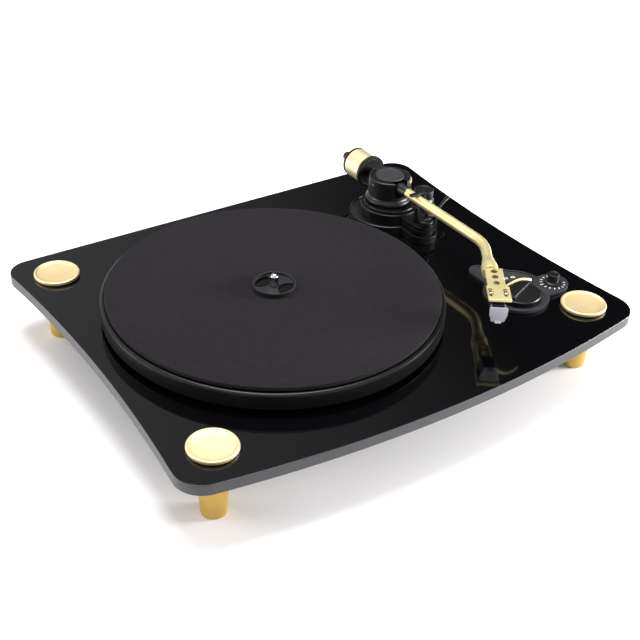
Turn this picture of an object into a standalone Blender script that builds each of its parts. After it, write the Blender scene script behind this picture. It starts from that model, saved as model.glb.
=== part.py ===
"""Belt-driven turntable with a bent tonearm, built as separate pieces.

Metres, Z up. The origin is on the floor, midway across the plinth and midway
between its rear edge and the middle of its bowed front edge. Heights named
for the deck are counted up from the plinth's top face.
"""

import math

import bmesh
import bpy
from mathutils import Matrix, Vector
from mathutils.geometry import convex_hull_2d

for old_object in list(bpy.data.objects):
    bpy.data.objects.remove(old_object)


# Driving dimensions
SEAT_GAP = 0.0003          # left between faces that touch on the real object
OVERRUN = 0.003            # how far a cutter passes beyond what it cuts
MERGE_DISTANCE = 0.000002
AXIS_MARK = 0.020          # drawn size of the empties that mark the joints' axes
SHARP_ANGLE = math.radians(35)

FOOT_HEIGHT = 0.052
PLINTH_THICKNESS = 0.010
DECK = FOOT_HEIGHT + PLINTH_THICKNESS
PLINTH_HALF_DEPTH = 0.1885
PLINTH_WAIST = 0.2197      # half the width where the sides come closest
PLINTH_WAIST_Y = 0.0245
SIDE_ARC_RADIUS = 1.42     # the sides bow inward
FRONT_ARC_RADIUS = 1.196   # the front bows outward
CORNER_RADIUS = 0.023

FOOT_INSET_X = 0.0288      # the feet's axes, inside the waist and the front and rear edges
FOOT_INSET_FRONT = 0.0533
FOOT_INSET_REAR = 0.0381
FOOT_X = PLINTH_WAIST - FOOT_INSET_X
FOOT_FRONT_Y = FOOT_INSET_FRONT - PLINTH_HALF_DEPTH
FOOT_REAR_Y = PLINTH_HALF_DEPTH - FOOT_INSET_REAR

PLATTER_X = -0.0512
PLATTER_Y = 0.0026
PLATTER_RADIUS = 0.150
SPINDLE_RADIUS = 0.0036
MAT_TOP = 0.0226           # above the deck

ARM_X = 0.1379             # the tonearm's upright pivot
ARM_Y = 0.0896
ARM_HEIGHT = 0.0396        # the arm tube's axis above the deck
TUBE_RADIUS = 0.0046

PLATE_X = 0.1493           # the selector knob, which the control plate surrounds
PLATE_INSET_FRONT = 0.0933
PLATE_Y = PLATE_INSET_FRONT - PLINTH_HALF_DEPTH

# Fineness of round shapes, as the number of flat sides to a full turn
LARGE_ROUND = 48
ROUND = 24
SMALL_ROUND = 16
SCREW_ROUND = 8

# Finishes: base colour, roughness, metallic
GLOSS_BLACK = ((0.004, 0.004, 0.006), 0.06, 0.0)
SATIN_BLACK = ((0.012, 0.012, 0.014), 0.38, 0.0)
MATT_BLACK = ((0.020, 0.019, 0.022), 0.60, 0.0)
FELT = ((0.036, 0.032, 0.035), 0.95, 0.0)
GOLD = ((0.86, 0.70, 0.34), 0.34, 0.9)
STEEL = ((0.62, 0.62, 0.63), 0.22, 1.0)
ZINC = ((0.50, 0.51, 0.53), 0.40, 1.0)
BRONZE = ((0.42, 0.26, 0.12), 0.42, 1.0)
RUBBER = ((0.015, 0.015, 0.015), 0.80, 0.0)
IVORY = ((0.80, 0.79, 0.74), 0.45, 0.0)
GUARD_GREY = ((0.55, 0.55, 0.58), 0.30, 0.0)
BOARD_GREEN = ((0.02, 0.10, 0.04), 0.50, 0.0)


# Shape helpers
def turned(profile, steps=ROUND):
    """Spin a profile of (radius, height) points round Z; ends at radius 0 close on the axis."""
    shape = bmesh.new()
    points = [shape.verts.new((radius, 0, height)) for radius, height in profile]
    edges = [shape.edges.new(pair) for pair in zip(points, points[1:])]
    if profile[0][0] > 0:
        edges.append(shape.edges.new((points[-1], points[0])))
    bmesh.ops.spin(shape, geom=points + edges, cent=(0, 0, 0), axis=(0, 0, 1),
                   angle=math.tau, steps=steps)
    bmesh.ops.remove_doubles(shape, verts=shape.verts, dist=MERGE_DISTANCE)
    bmesh.ops.recalc_face_normals(shape, faces=shape.faces)
    return shape


def disc(radius, low, high, chamfer=0):
    """Profile of a disc or rod with an optional chamfer round its top."""
    if chamfer == 0:
        return [(0, low), (radius, low), (radius, high), (0, high)]
    return [(0, low), (radius, low), (radius, high - chamfer), (radius - chamfer, high), (0, high)]


def ring(outer, inner, low, high, chamfer=0):
    """Profile of a ring or tube with an optional chamfer on its outer edges."""
    if chamfer == 0:
        return [(inner, low), (outer, low), (outer, high), (inner, high)]
    return [(inner, low), (outer - chamfer, low), (outer, low + chamfer),
            (outer, high - chamfer), (outer - chamfer, high), (inner, high)]


def slab(outline, low, high, chamfer=0):
    """A flat piece with the given outline, its top edge chamfered where asked."""
    shape = bmesh.new()
    base = shape.faces.new([shape.verts.new((x, y, low)) for x, y in outline])
    grown = bmesh.ops.extrude_face_region(shape, geom=[base])
    top_points = [item for item in grown["geom"] if isinstance(item, bmesh.types.BMVert)]
    bmesh.ops.translate(shape, verts=top_points, vec=(0, 0, high - low))
    if chamfer > 0:
        top_face = [item for item in grown["geom"] if isinstance(item, bmesh.types.BMFace)]
        bmesh.ops.inset_region(shape, faces=top_face, thickness=chamfer)
        lifted = [point for face in top_face for point in face.verts]
        outer = [point for point in top_points if point not in lifted]
        bmesh.ops.translate(shape, verts=outer, vec=(0, 0, -chamfer))
    bmesh.ops.recalc_face_normals(shape, faces=shape.faces)
    return shape


def block(size_x, size_y, size_z, centre=(0, 0, 0)):
    """A plain box about its centre."""
    shape = bmesh.new()
    bmesh.ops.create_cube(shape, size=1, matrix=Matrix.Translation(centre)
                          @ Matrix.Diagonal((size_x, size_y, size_z, 1)))
    return shape


def hull_outline(circles, steps=ROUND):
    """The outline of a tight band round several circles, each (x, y, radius)."""
    points = []
    for x, y, radius in circles:
        for step in range(steps):
            angle = math.tau * step / steps
            points.append((x + radius * math.cos(angle), y + radius * math.sin(angle)))
    return [points[index] for index in convex_hull_2d([Vector(point) for point in points])]


def gathered(shapes, places):
    """Copies of one or more shapes in one mesh, as separate solids, each at its place."""
    whole = bmesh.new()
    for shape, place in zip(shapes, places):
        copy = bpy.data.meshes.new("copy")
        shape.to_mesh(copy)
        copy.transform(Matrix.Translation(place))
        whole.from_mesh(copy)
        bpy.data.meshes.remove(copy)
    return whole


def laid_along(shape, direction, offset=(0, 0, 0)):
    """Turn a shape made along Z so that its Z runs along the direction."""
    turn = Vector((0, 0, 1)).rotation_difference(Vector(direction)).to_matrix().to_4x4()
    bmesh.ops.transform(shape, matrix=Matrix.Translation(offset) @ turn, verts=shape.verts)
    return shape


def piece(name, shape, finish, place=(0, 0, 0), parent=None):
    """Make a named object with its own material from a shape."""
    colour, roughness, metallic = finish
    mesh = bpy.data.meshes.new(name)
    shape.to_mesh(mesh)
    shape.free()
    material = bpy.data.materials.new(name)
    material.use_nodes = True
    surface = material.node_tree.nodes["Principled BSDF"]
    surface.inputs["Base Color"].default_value = (*colour, 1)
    surface.inputs["Roughness"].default_value = roughness
    surface.inputs["Metallic"].default_value = metallic
    mesh.materials.append(material)
    mesh.shade_smooth()
    mesh.set_sharp_from_angle(angle=SHARP_ANGLE)
    made = bpy.data.objects.new(name, mesh)
    bpy.context.collection.objects.link(made)
    made.location = place
    made.parent = parent
    return made


def tool(name, shape, place=(0, 0, 0), parent=None):
    """A shape that only cuts or adds to another piece."""
    mesh = bpy.data.meshes.new(name)
    shape.to_mesh(mesh)
    shape.free()
    made = bpy.data.objects.new(name, mesh)
    bpy.context.collection.objects.link(made)
    made.location = place
    made.parent = parent
    made.display_type = "WIRE"
    made.hide_render = True
    return made


def combine(body, other, operation):
    """Cut the other shape from the body, or join it on."""
    step = body.modifiers.new(other.name, "BOOLEAN")
    step.operation = operation
    step.solver = "EXACT"
    step.object = other


def axis_point(name, place, parent=None):
    """An empty that stands on a joint's axis and carries what turns there."""
    empty = bpy.data.objects.new(name, None)
    bpy.context.collection.objects.link(empty)
    empty.location = place
    empty.parent = parent
    empty.empty_display_size = AXIS_MARK
    return empty


def on_deck(height):
    """A height above the plinth's top face as a height above the floor."""
    return DECK + height


# Plinth: one slab with inward-bowed sides and an outward-bowed front
def side_half_width(y):
    return PLINTH_WAIST + (y - PLINTH_WAIST_Y) ** 2 / (2 * SIDE_ARC_RADIUS)


def front_edge(x):
    return -PLINTH_HALF_DEPTH + x ** 2 / (2 * FRONT_ARC_RADIUS)


EDGE_SPANS = 8
CORNER_STEPS = 7
corner_y = -PLINTH_HALF_DEPTH
for _ in range(EDGE_SPANS):
    corner_y = front_edge(side_half_width(corner_y))
corner_x = side_half_width(corner_y)

plinth_outline = []
for span in range(EDGE_SPANS):
    front_x = corner_x * (2 * span / EDGE_SPANS - 1)
    plinth_outline.append((front_x, front_edge(front_x)))
for span in range(EDGE_SPANS + 1):
    side_y = corner_y + (PLINTH_HALF_DEPTH - corner_y) * span / EDGE_SPANS
    plinth_outline.append((side_half_width(side_y), side_y))
for span in range(EDGE_SPANS):
    side_y = PLINTH_HALF_DEPTH + (corner_y - PLINTH_HALF_DEPTH) * span / EDGE_SPANS
    plinth_outline.append((-side_half_width(side_y), side_y))

plinth_shape = bmesh.new()
plinth_shape.faces.new([plinth_shape.verts.new((x, y, FOOT_HEIGHT)) for x, y in plinth_outline])
plinth_shape.verts.ensure_lookup_table()
corner_points = [plinth_shape.verts[index]
                 for index in (0, EDGE_SPANS, 2 * EDGE_SPANS, 2 * EDGE_SPANS + 1)]
bmesh.ops.bevel(plinth_shape, geom=corner_points, offset=CORNER_RADIUS, offset_type="OFFSET",
                segments=CORNER_STEPS, profile=0.5, affect="VERTICES")
plinth_top = bmesh.ops.extrude_face_region(plinth_shape, geom=list(plinth_shape.faces))
bmesh.ops.translate(plinth_shape, vec=(0, 0, PLINTH_THICKNESS),
                    verts=[item for item in plinth_top["geom"] if isinstance(item, bmesh.types.BMVert)])
bmesh.ops.recalc_face_normals(plinth_shape, faces=plinth_shape.faces)
plinth = piece("plinth", plinth_shape, GLOSS_BLACK)


def bore_plinth(name, radius, places, steps=SMALL_ROUND, low=FOOT_HEIGHT - OVERRUN, high=DECK + OVERRUN):
    """Cut round holes of one size through the plinth, or part way where a height is given."""
    shapes = [turned(disc(radius, low, high), steps) for _ in places]
    cutter = tool(name, gathered(shapes, [(x, y, 0) for x, y in places]))
    combine(plinth, cutter, "DIFFERENCE")


# Feet: tapered gold cones, each held by the stud of a dished disc on top of the plinth
STUD_RADIUS = 0.0040
STUD_BORE = STUD_RADIUS + SEAT_GAP
STUD_LENGTH = 0.0400
FOOT_TOP_RADIUS = 0.0140
FOOT_BOTTOM_RADIUS = 0.0105
FOOT_EDGE = 0.0008
FOOT_TOP = FOOT_HEIGHT - SEAT_GAP
DISC_RADIUS = 0.0205
DISC_LOW = SEAT_GAP
DISC_RIM_TOP = 0.0041
DISC_RIM_INNER = 0.0178
DISC_FLOOR = 0.0029
DISC_EDGE = 0.0009
FOOT_DISC_ROUND = 20

stud_low = DECK - STUD_LENGTH
foot_profile = [
    (0, 0),
    (FOOT_BOTTOM_RADIUS - FOOT_EDGE, 0),
    (FOOT_BOTTOM_RADIUS, FOOT_EDGE),
    (FOOT_TOP_RADIUS, FOOT_TOP - FOOT_EDGE),
    (FOOT_TOP_RADIUS - FOOT_EDGE, FOOT_TOP),
    (STUD_BORE, FOOT_TOP),
    (STUD_BORE, stud_low - SEAT_GAP),
    (0, stud_low - SEAT_GAP),
]
disc_profile = [
    (0, stud_low - DECK),
    (STUD_RADIUS, stud_low - DECK),
    (STUD_RADIUS, DISC_LOW),
    (DISC_RADIUS - DISC_EDGE, DISC_LOW),
    (DISC_RADIUS, DISC_LOW + DISC_EDGE),
    (DISC_RADIUS, DISC_RIM_TOP - DISC_EDGE),
    (DISC_RADIUS - DISC_EDGE, DISC_RIM_TOP),
    (DISC_RIM_INNER + DISC_EDGE, DISC_RIM_TOP),
    (DISC_RIM_INNER, DISC_FLOOR + DISC_EDGE / 2),
    (DISC_RIM_INNER / 2, DISC_FLOOR),
    (0, DISC_FLOOR - DISC_EDGE / 4),
]
foot_places = {
    "front_left": (-FOOT_X, FOOT_FRONT_Y),
    "front_right": (FOOT_X, FOOT_FRONT_Y),
    "rear_left": (-FOOT_X, FOOT_REAR_Y),
    "rear_right": (FOOT_X, FOOT_REAR_Y),
}
for corner, (foot_x, foot_y) in foot_places.items():
    piece("foot_" + corner, turned(foot_profile, SMALL_ROUND), GOLD, (foot_x, foot_y, 0))
    piece("foot_disc_" + corner, turned(disc_profile, FOOT_DISC_ROUND), GOLD, (foot_x, foot_y, DECK))

bore_plinth("stud_holes", STUD_BORE, list(foot_places.values()), FOOT_DISC_ROUND)


# Platter bearing: a closed sleeve pressed down through the plinth
HOUSING_RADIUS = 0.0086
HOUSING_BORE = 0.0066
HOUSING_LOW = -0.0360
HOUSING_FLOOR = 0.0025
FLANGE_RADIUS = 0.0150
FLANGE_TOP = 0.0017
PAD_DISC_HEIGHT = 0.0015
BUSH_OUTER = HOUSING_BORE - SEAT_GAP
BUSH_INNER = SPINDLE_RADIUS + SEAT_GAP

platter_axis = axis_point("platter_axis", (PLATTER_X, PLATTER_Y, DECK))
housing_profile = [
    (0, HOUSING_LOW),
    (HOUSING_RADIUS, HOUSING_LOW),
    (HOUSING_RADIUS, SEAT_GAP),
    (FLANGE_RADIUS, SEAT_GAP),
    (FLANGE_RADIUS, FLANGE_TOP),
    (HOUSING_BORE, FLANGE_TOP),
    (HOUSING_BORE, HOUSING_LOW + HOUSING_FLOOR),
    (0, HOUSING_LOW + HOUSING_FLOOR),
]
piece("bearing_housing", turned(housing_profile, SMALL_ROUND), ZINC, (PLATTER_X, PLATTER_Y, DECK))
bore_plinth("bearing_hole", HOUSING_RADIUS + SEAT_GAP, [(PLATTER_X, PLATTER_Y)])

under_plinth = -PLINTH_THICKNESS - SEAT_GAP
thrust_low = HOUSING_LOW + HOUSING_FLOOR + SEAT_GAP
thrust_top = thrust_low + PAD_DISC_HEIGHT
piece("thrust_pad", turned(disc(BUSH_OUTER, thrust_low, thrust_top), SMALL_ROUND), IVORY,
      (PLATTER_X, PLATTER_Y, DECK))
bush = turned(ring(BUSH_OUTER, BUSH_INNER, thrust_top + SEAT_GAP, FLANGE_TOP - SEAT_GAP), SMALL_ROUND)
piece("bearing_bush", bush, BRONZE, (PLATTER_X, PLATTER_Y, DECK))

# Spindle: a polished rod with a domed tip, standing on the thrust pad
SPINDLE_TOP = 0.0362
SPINDLE_DOME = 0.0030
DOME_STEPS = 3
spindle_low = thrust_top + SEAT_GAP
spindle_profile = [(0, spindle_low), (SPINDLE_RADIUS - SEAT_GAP, spindle_low),
                   (SPINDLE_RADIUS, spindle_low + SEAT_GAP)]
for step in range(DOME_STEPS + 1):
    dome_angle = math.pi / 2 * step / DOME_STEPS
    spindle_profile.append((SPINDLE_RADIUS * math.cos(dome_angle) if step < DOME_STEPS else 0,
                            SPINDLE_TOP - SPINDLE_DOME * (1 - math.sin(dome_angle))))
piece("spindle", turned(spindle_profile, SMALL_ROUND), STEEL, parent=platter_axis)

# Sub-platter: the moulded disc that the belt drives and the platter rests on
BELT_TRACK_RADIUS = 0.0620
TRACK_WALL = 0.0035
HUB_RADIUS = 0.0110
HUB_LOW = 0.0022
TRACK_LOW = 0.0030
WEB_LOW = 0.0095
SUB_PLATTER_TOP = 0.0137
sub_platter_profile = [
    (BUSH_INNER, HUB_LOW),
    (HUB_RADIUS, HUB_LOW),
    (HUB_RADIUS, WEB_LOW),
    (BELT_TRACK_RADIUS - TRACK_WALL, WEB_LOW),
    (BELT_TRACK_RADIUS - TRACK_WALL, TRACK_LOW),
    (BELT_TRACK_RADIUS, TRACK_LOW),
    (BELT_TRACK_RADIUS, SUB_PLATTER_TOP),
    (BUSH_INNER, SUB_PLATTER_TOP),
]
piece("sub_platter", turned(sub_platter_profile, ROUND), IVORY, parent=platter_axis)

# Platter: a cast dish, open underneath, with a low step inside its rim for the mat
PLATTER_WALL = 0.0055
PLATTER_LOW = 0.0045
PLATTER_EDGE = 0.0008
RIM_TOP = 0.0188
RIM_WIDTH = 0.0038
MAT_THICKNESS = 0.0030
platter_land = MAT_TOP - MAT_THICKNESS - SEAT_GAP
mat_radius = PLATTER_RADIUS - RIM_WIDTH - SEAT_GAP
platter_profile = [
    (BUSH_INNER, SUB_PLATTER_TOP + SEAT_GAP),
    (PLATTER_RADIUS - PLATTER_WALL, SUB_PLATTER_TOP + SEAT_GAP),
    (PLATTER_RADIUS - PLATTER_WALL, PLATTER_LOW),
    (PLATTER_RADIUS - PLATTER_EDGE, PLATTER_LOW),
    (PLATTER_RADIUS, PLATTER_LOW + PLATTER_EDGE),
    (PLATTER_RADIUS, RIM_TOP - PLATTER_EDGE),
    (PLATTER_RADIUS - PLATTER_EDGE, RIM_TOP),
    (PLATTER_RADIUS - RIM_WIDTH, RIM_TOP),
    (PLATTER_RADIUS - RIM_WIDTH, platter_land),
    (BUSH_INNER, platter_land),
]
piece("platter", turned(platter_profile, LARGE_ROUND), SATIN_BLACK, parent=platter_axis)

# Mat and 45 rpm adapter, which both lift off over the spindle
ADAPTER_RADIUS = 0.01905
ADAPTER_TOP = 0.0272
ADAPTER_RIM = 0.0013
ADAPTER_FLOOR = 0.0246
DIP_FLOOR = 0.0235
DIP_RADIUS = 0.0095
DIP_DISTANCE = 0.0122
DIP_ANGLE = math.radians(-75)
mat_axis = axis_point("mat_axis", (0, 0, 0), platter_axis)
adapter_axis = axis_point("adapter_axis", (0, 0, 0), mat_axis)
mat_profile = ring(mat_radius, BUSH_INNER, MAT_TOP - MAT_THICKNESS, MAT_TOP)
piece("platter_mat", turned(mat_profile, LARGE_ROUND), FELT, parent=mat_axis)
adapter_profile = [
    (BUSH_INNER, MAT_TOP + SEAT_GAP),
    (ADAPTER_RADIUS, MAT_TOP + SEAT_GAP),
    (ADAPTER_RADIUS, ADAPTER_TOP),
    (ADAPTER_RADIUS - ADAPTER_RIM, ADAPTER_TOP),
    (ADAPTER_RADIUS - ADAPTER_RIM, ADAPTER_FLOOR),
    (BUSH_INNER, ADAPTER_FLOOR),
]
adapter = piece("adapter_45", turned(adapter_profile, ROUND), SATIN_BLACK, parent=adapter_axis)
dip_places = [(side * DIP_DISTANCE * math.cos(DIP_ANGLE), side * DIP_DISTANCE * math.sin(DIP_ANGLE), 0)
              for side in (-1, 1)]
dips = [turned(disc(DIP_RADIUS, DIP_FLOOR, ADAPTER_TOP + OVERRUN), SMALL_ROUND) for _ in dip_places]
dip = tool("finger_dips", gathered(dips, dip_places), parent=adapter_axis)
combine(dip, tool("dip_limit", turned(disc(ADAPTER_RADIUS - ADAPTER_RIM - SEAT_GAP, MAT_TOP,
                                           ADAPTER_TOP + 2 * OVERRUN)), parent=adapter_axis), "INTERSECT")
combine(adapter, dip, "DIFFERENCE")


# Drive: a small motor, held by a ring nut on its boss, turns the sub-platter through a flat belt
MOTOR_DISTANCE = 0.0920
MOTOR_ANGLE = math.radians(125)
PULLEY_RADIUS = 0.0062
PULLEY_FLANGE = 0.0012
PULLEY_LOW = 0.0030
PULLEY_TOP = 0.0120
SHAFT_RADIUS = 0.0010
SHAFT_LOW = -0.0090
MOTOR_RADIUS = 0.0160
MOTOR_LOW = -0.0340
MOTOR_FACE = -0.0130
BOSS_RADIUS = 0.0050
BOSS_TOP = 0.0020
MOTOR_NUT_RADIUS = 0.0082
MOTOR_NUT_TOP = 0.0022
GASKET_RADIUS = 0.0140
BELT_THICKNESS = 0.0008
BELT_LOW = 0.0052
BELT_HEIGHT = 0.0046

motor_x = PLATTER_X + MOTOR_DISTANCE * math.cos(MOTOR_ANGLE)
motor_y = PLATTER_Y + MOTOR_DISTANCE * math.sin(MOTOR_ANGLE)
motor_place = (motor_x, motor_y, DECK)
pulley_axis = axis_point("pulley_axis", motor_place)
pulley_profile = [
    (0, SHAFT_LOW),
    (SHAFT_RADIUS, SHAFT_LOW),
    (SHAFT_RADIUS, PULLEY_LOW),
    (PULLEY_RADIUS + PULLEY_FLANGE, PULLEY_LOW),
    (PULLEY_RADIUS + PULLEY_FLANGE, PULLEY_LOW + PULLEY_FLANGE),
    (PULLEY_RADIUS, PULLEY_LOW + 3 * PULLEY_FLANGE / 2),
    (PULLEY_RADIUS, PULLEY_TOP - 3 * PULLEY_FLANGE / 2),
    (PULLEY_RADIUS + PULLEY_FLANGE, PULLEY_TOP - PULLEY_FLANGE),
    (PULLEY_RADIUS + PULLEY_FLANGE, PULLEY_TOP),
    (0, PULLEY_TOP),
]
piece("motor_pulley", turned(pulley_profile, SMALL_ROUND), BRONZE, parent=pulley_axis)
motor_profile = [
    (0, MOTOR_LOW),
    (MOTOR_RADIUS, MOTOR_LOW),
    (MOTOR_RADIUS, MOTOR_FACE),
    (BOSS_RADIUS, MOTOR_FACE),
    (BOSS_RADIUS, BOSS_TOP),
    (SHAFT_RADIUS + SEAT_GAP, BOSS_TOP),
    (SHAFT_RADIUS + SEAT_GAP, SHAFT_LOW - SEAT_GAP),
    (0, SHAFT_LOW - SEAT_GAP),
]
piece("motor", turned(motor_profile, SMALL_ROUND), ZINC, motor_place)
boss_bore = BOSS_RADIUS + SEAT_GAP
gasket = ring(GASKET_RADIUS, boss_bore, MOTOR_FACE + SEAT_GAP, under_plinth)
piece("motor_gasket", turned(gasket, SMALL_ROUND), RUBBER, motor_place)
piece("motor_nut", turned(ring(MOTOR_NUT_RADIUS, boss_bore, SEAT_GAP, MOTOR_NUT_TOP), SMALL_ROUND), ZINC,
      motor_place)
bore_plinth("motor_hole", boss_bore, [(motor_x, motor_y)])


def belt_loop(growth):
    """Points round both pulleys, the given distance outside their tracks."""
    spread = math.acos((BELT_TRACK_RADIUS - PULLEY_RADIUS) / MOTOR_DISTANCE)
    big = BELT_TRACK_RADIUS + growth
    small = PULLEY_RADIUS + growth
    points = []
    for step in range(LARGE_ROUND + 1):
        angle = MOTOR_ANGLE + spread + (math.tau - 2 * spread) * step / LARGE_ROUND
        points.append((big * math.cos(angle), big * math.sin(angle)))
    pulley_centre = Vector((MOTOR_DISTANCE * math.cos(MOTOR_ANGLE), MOTOR_DISTANCE * math.sin(MOTOR_ANGLE)))
    for step in range(SCREW_ROUND + 1):
        angle = MOTOR_ANGLE - spread + 2 * spread * step / SCREW_ROUND
        points.append((pulley_centre.x + small * math.cos(angle), pulley_centre.y + small * math.sin(angle)))
    return points


belt_shape = bmesh.new()
belt_loops = [[belt_shape.verts.new((x, y, BELT_LOW)) for x, y in belt_loop(growth)]
              for growth in (SEAT_GAP, SEAT_GAP + BELT_THICKNESS)]
count = len(belt_loops[0])
belt_faces = []
for index in range(count):
    after = (index + 1) % count
    belt_faces.append(belt_shape.faces.new((belt_loops[0][index], belt_loops[0][after],
                                            belt_loops[1][after], belt_loops[1][index])))
belt_top = bmesh.ops.extrude_face_region(belt_shape, geom=belt_faces)
bmesh.ops.translate(belt_shape, vec=(0, 0, BELT_HEIGHT),
                    verts=[item for item in belt_top["geom"] if isinstance(item, bmesh.types.BMVert)])
bmesh.ops.recalc_face_normals(belt_shape, faces=belt_shape.faces)
piece("drive_belt", belt_shape, RUBBER, (PLATTER_X, PLATTER_Y, DECK))


# Electronics tray: an open box whose four pegs press into the plinth's underside
TRAY_LEFT = -0.165
TRAY_RIGHT = 0.030
TRAY_FRONT = -0.045
TRAY_REAR = 0.130
TRAY_DEPTH = 0.0295
TRAY_WALL = 0.0022
TRAY_CORNER = 0.006
POCKET_CORNER = 0.014
PEG_INSET = 0.0075
PEG_RADIUS = 0.0020
PEG_REACH = 0.0040         # into the plinth
tray_low = FOOT_HEIGHT - TRAY_DEPTH
tray_top = FOOT_HEIGHT - SEAT_GAP
tray_floor = tray_low + TRAY_WALL


def cut_corner_outline(left, right, front, rear, corner):
    """A rectangle with its corners cut off straight."""
    return [(left + corner, front), (right - corner, front), (right, front + corner),
            (right, rear - corner), (right - corner, rear), (left + corner, rear),
            (left, rear - corner), (left, front + corner)]


tray = piece("electronics_tray", slab(cut_corner_outline(TRAY_LEFT, TRAY_RIGHT, TRAY_FRONT, TRAY_REAR,
                                                         TRAY_CORNER), tray_low, tray_top), SATIN_BLACK)
pocket = cut_corner_outline(TRAY_LEFT + TRAY_WALL, TRAY_RIGHT - TRAY_WALL, TRAY_FRONT + TRAY_WALL,
                            TRAY_REAR - TRAY_WALL, POCKET_CORNER)
combine(tray, tool("tray_pocket", slab(pocket, tray_floor, tray_top + OVERRUN)), "DIFFERENCE")
peg_top = FOOT_HEIGHT + PEG_REACH
tray_peg_places = [(x, y, 0) for x in (TRAY_LEFT + PEG_INSET, TRAY_RIGHT - PEG_INSET)
                   for y in (TRAY_FRONT + PEG_INSET, TRAY_REAR - PEG_INSET)]
tray_pegs = [turned(disc(PEG_RADIUS, tray_top - PEG_REACH, peg_top), SCREW_ROUND) for _ in tray_peg_places]
combine(tray, tool("tray_pegs", gathered(tray_pegs, tray_peg_places)), "UNION")
bore_plinth("tray_peg_holes", PEG_RADIUS + SEAT_GAP, [(x, y) for x, y, _ in tray_peg_places], SCREW_ROUND,
            high=peg_top + SEAT_GAP)

# Circuit board on four heat-staked posts in the tray, with the sockets along its rear edge
BOARD_LEFT = -0.062
BOARD_RIGHT = 0.014
BOARD_FRONT = 0.066
BOARD_REAR = 0.118
BOARD_THICKNESS = 0.0016
BOARD_LIFT = 0.0075        # of its underside above the tray's
BOARD_INSET = 0.0045
POST_RADIUS = 0.0030
STAKE_RADIUS = 0.0012
STAKE_HEAD_RADIUS = 0.0022
STAKE_HEAD_HEIGHT = 0.0010
CAPACITOR_RADIUS = 0.0050
CAPACITOR_HEIGHT = 0.0110
CAPACITOR_SHARES = (0.25, 0.45, 0.75)     # of the board's width
board_low = tray_low + BOARD_LIFT
board_top = board_low + BOARD_THICKNESS
board_post_places = [(x, y, 0) for x in (BOARD_LEFT + BOARD_INSET, BOARD_RIGHT - BOARD_INSET)
                      for y in (BOARD_FRONT + BOARD_INSET, BOARD_REAR - BOARD_INSET)]
post_profile = [
    (0, tray_floor - TRAY_WALL / 2),
    (POST_RADIUS, tray_floor - TRAY_WALL / 2),
    (POST_RADIUS, board_low - SEAT_GAP),
    (STAKE_RADIUS, board_low - SEAT_GAP),
    (STAKE_RADIUS, board_top + SEAT_GAP),
    (STAKE_HEAD_RADIUS, board_top + SEAT_GAP),
    (STAKE_HEAD_RADIUS, board_top + SEAT_GAP + STAKE_HEAD_HEIGHT),
    (0, board_top + SEAT_GAP + STAKE_HEAD_HEIGHT),
]
posts = [turned(post_profile, SCREW_ROUND) for _ in board_post_places]
combine(tray, tool("board_posts", gathered(posts, board_post_places)), "UNION")

board = piece("circuit_board", block(BOARD_RIGHT - BOARD_LEFT, BOARD_REAR - BOARD_FRONT, BOARD_THICKNESS,
                                     ((BOARD_LEFT + BOARD_RIGHT) / 2, (BOARD_FRONT + BOARD_REAR) / 2,
                                      (board_low + board_top) / 2)), BOARD_GREEN)
board_holes = [turned(disc(STAKE_RADIUS + SEAT_GAP, board_low - OVERRUN, board_top + OVERRUN),
                      SCREW_ROUND) for _ in board_post_places]
combine(board, tool("board_holes", gathered(board_holes, board_post_places)), "DIFFERENCE")
capacitor_places = [(BOARD_LEFT + share * (BOARD_RIGHT - BOARD_LEFT), BOARD_FRONT + 3 * CAPACITOR_RADIUS, 0)
                    for share in CAPACITOR_SHARES]
capacitors = [turned(disc(CAPACITOR_RADIUS, board_top - BOARD_THICKNESS / 2, board_top + CAPACITOR_HEIGHT),
                     SCREW_ROUND) for _ in capacitor_places]
combine(board, tool("capacitors", gathered(capacitors, capacitor_places)), "UNION")

# Sockets: two phono sockets, a power inlet and an earth terminal, reached from behind
SOCKET_SIZE = 0.0110
SOCKET_FRONT = 0.1170
SOCKET_HEIGHT = 0.0110
BARREL_RADIUS = 0.0041
BARREL_END = 0.1385
PIN_HOLE_RADIUS = 0.0016
LEFT_PHONO_X = -0.046
RIGHT_PHONO_X = -0.030
POWER_X = -0.006
EARTH_X = -0.072
POWER_BORE = 0.0029
POWER_PIN = 0.0010
POWER_DEPTH = 0.0090
EARTH_RADIUS = 0.0020
EARTH_KNOB = 0.0045
EARTH_KNOB_LENGTH = 0.0070
EARTH_REACH = 0.0060
socket_low = board_top + SEAT_GAP
socket_middle = socket_low + SOCKET_HEIGHT / 2
socket_rear = TRAY_REAR - TRAY_WALL - SEAT_GAP
BACKWARD = (0, 1, 0)

phono_x = (LEFT_PHONO_X + RIGHT_PHONO_X) / 2
phono_place = (phono_x, socket_rear, socket_middle)
phono_depth = socket_rear - SOCKET_FRONT
phono_width = RIGHT_PHONO_X - LEFT_PHONO_X + SOCKET_SIZE
barrel_reach = BARREL_END - socket_rear
barrel_places = [(LEFT_PHONO_X - phono_x, 0, 0), (RIGHT_PHONO_X - phono_x, 0, 0)]


def backward_pair(profile, steps):
    """Two like shapes turned to point out of the tray's rear wall, one at each barrel."""
    return gathered([laid_along(turned(profile, steps), BACKWARD) for _ in barrel_places], barrel_places)


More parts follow.
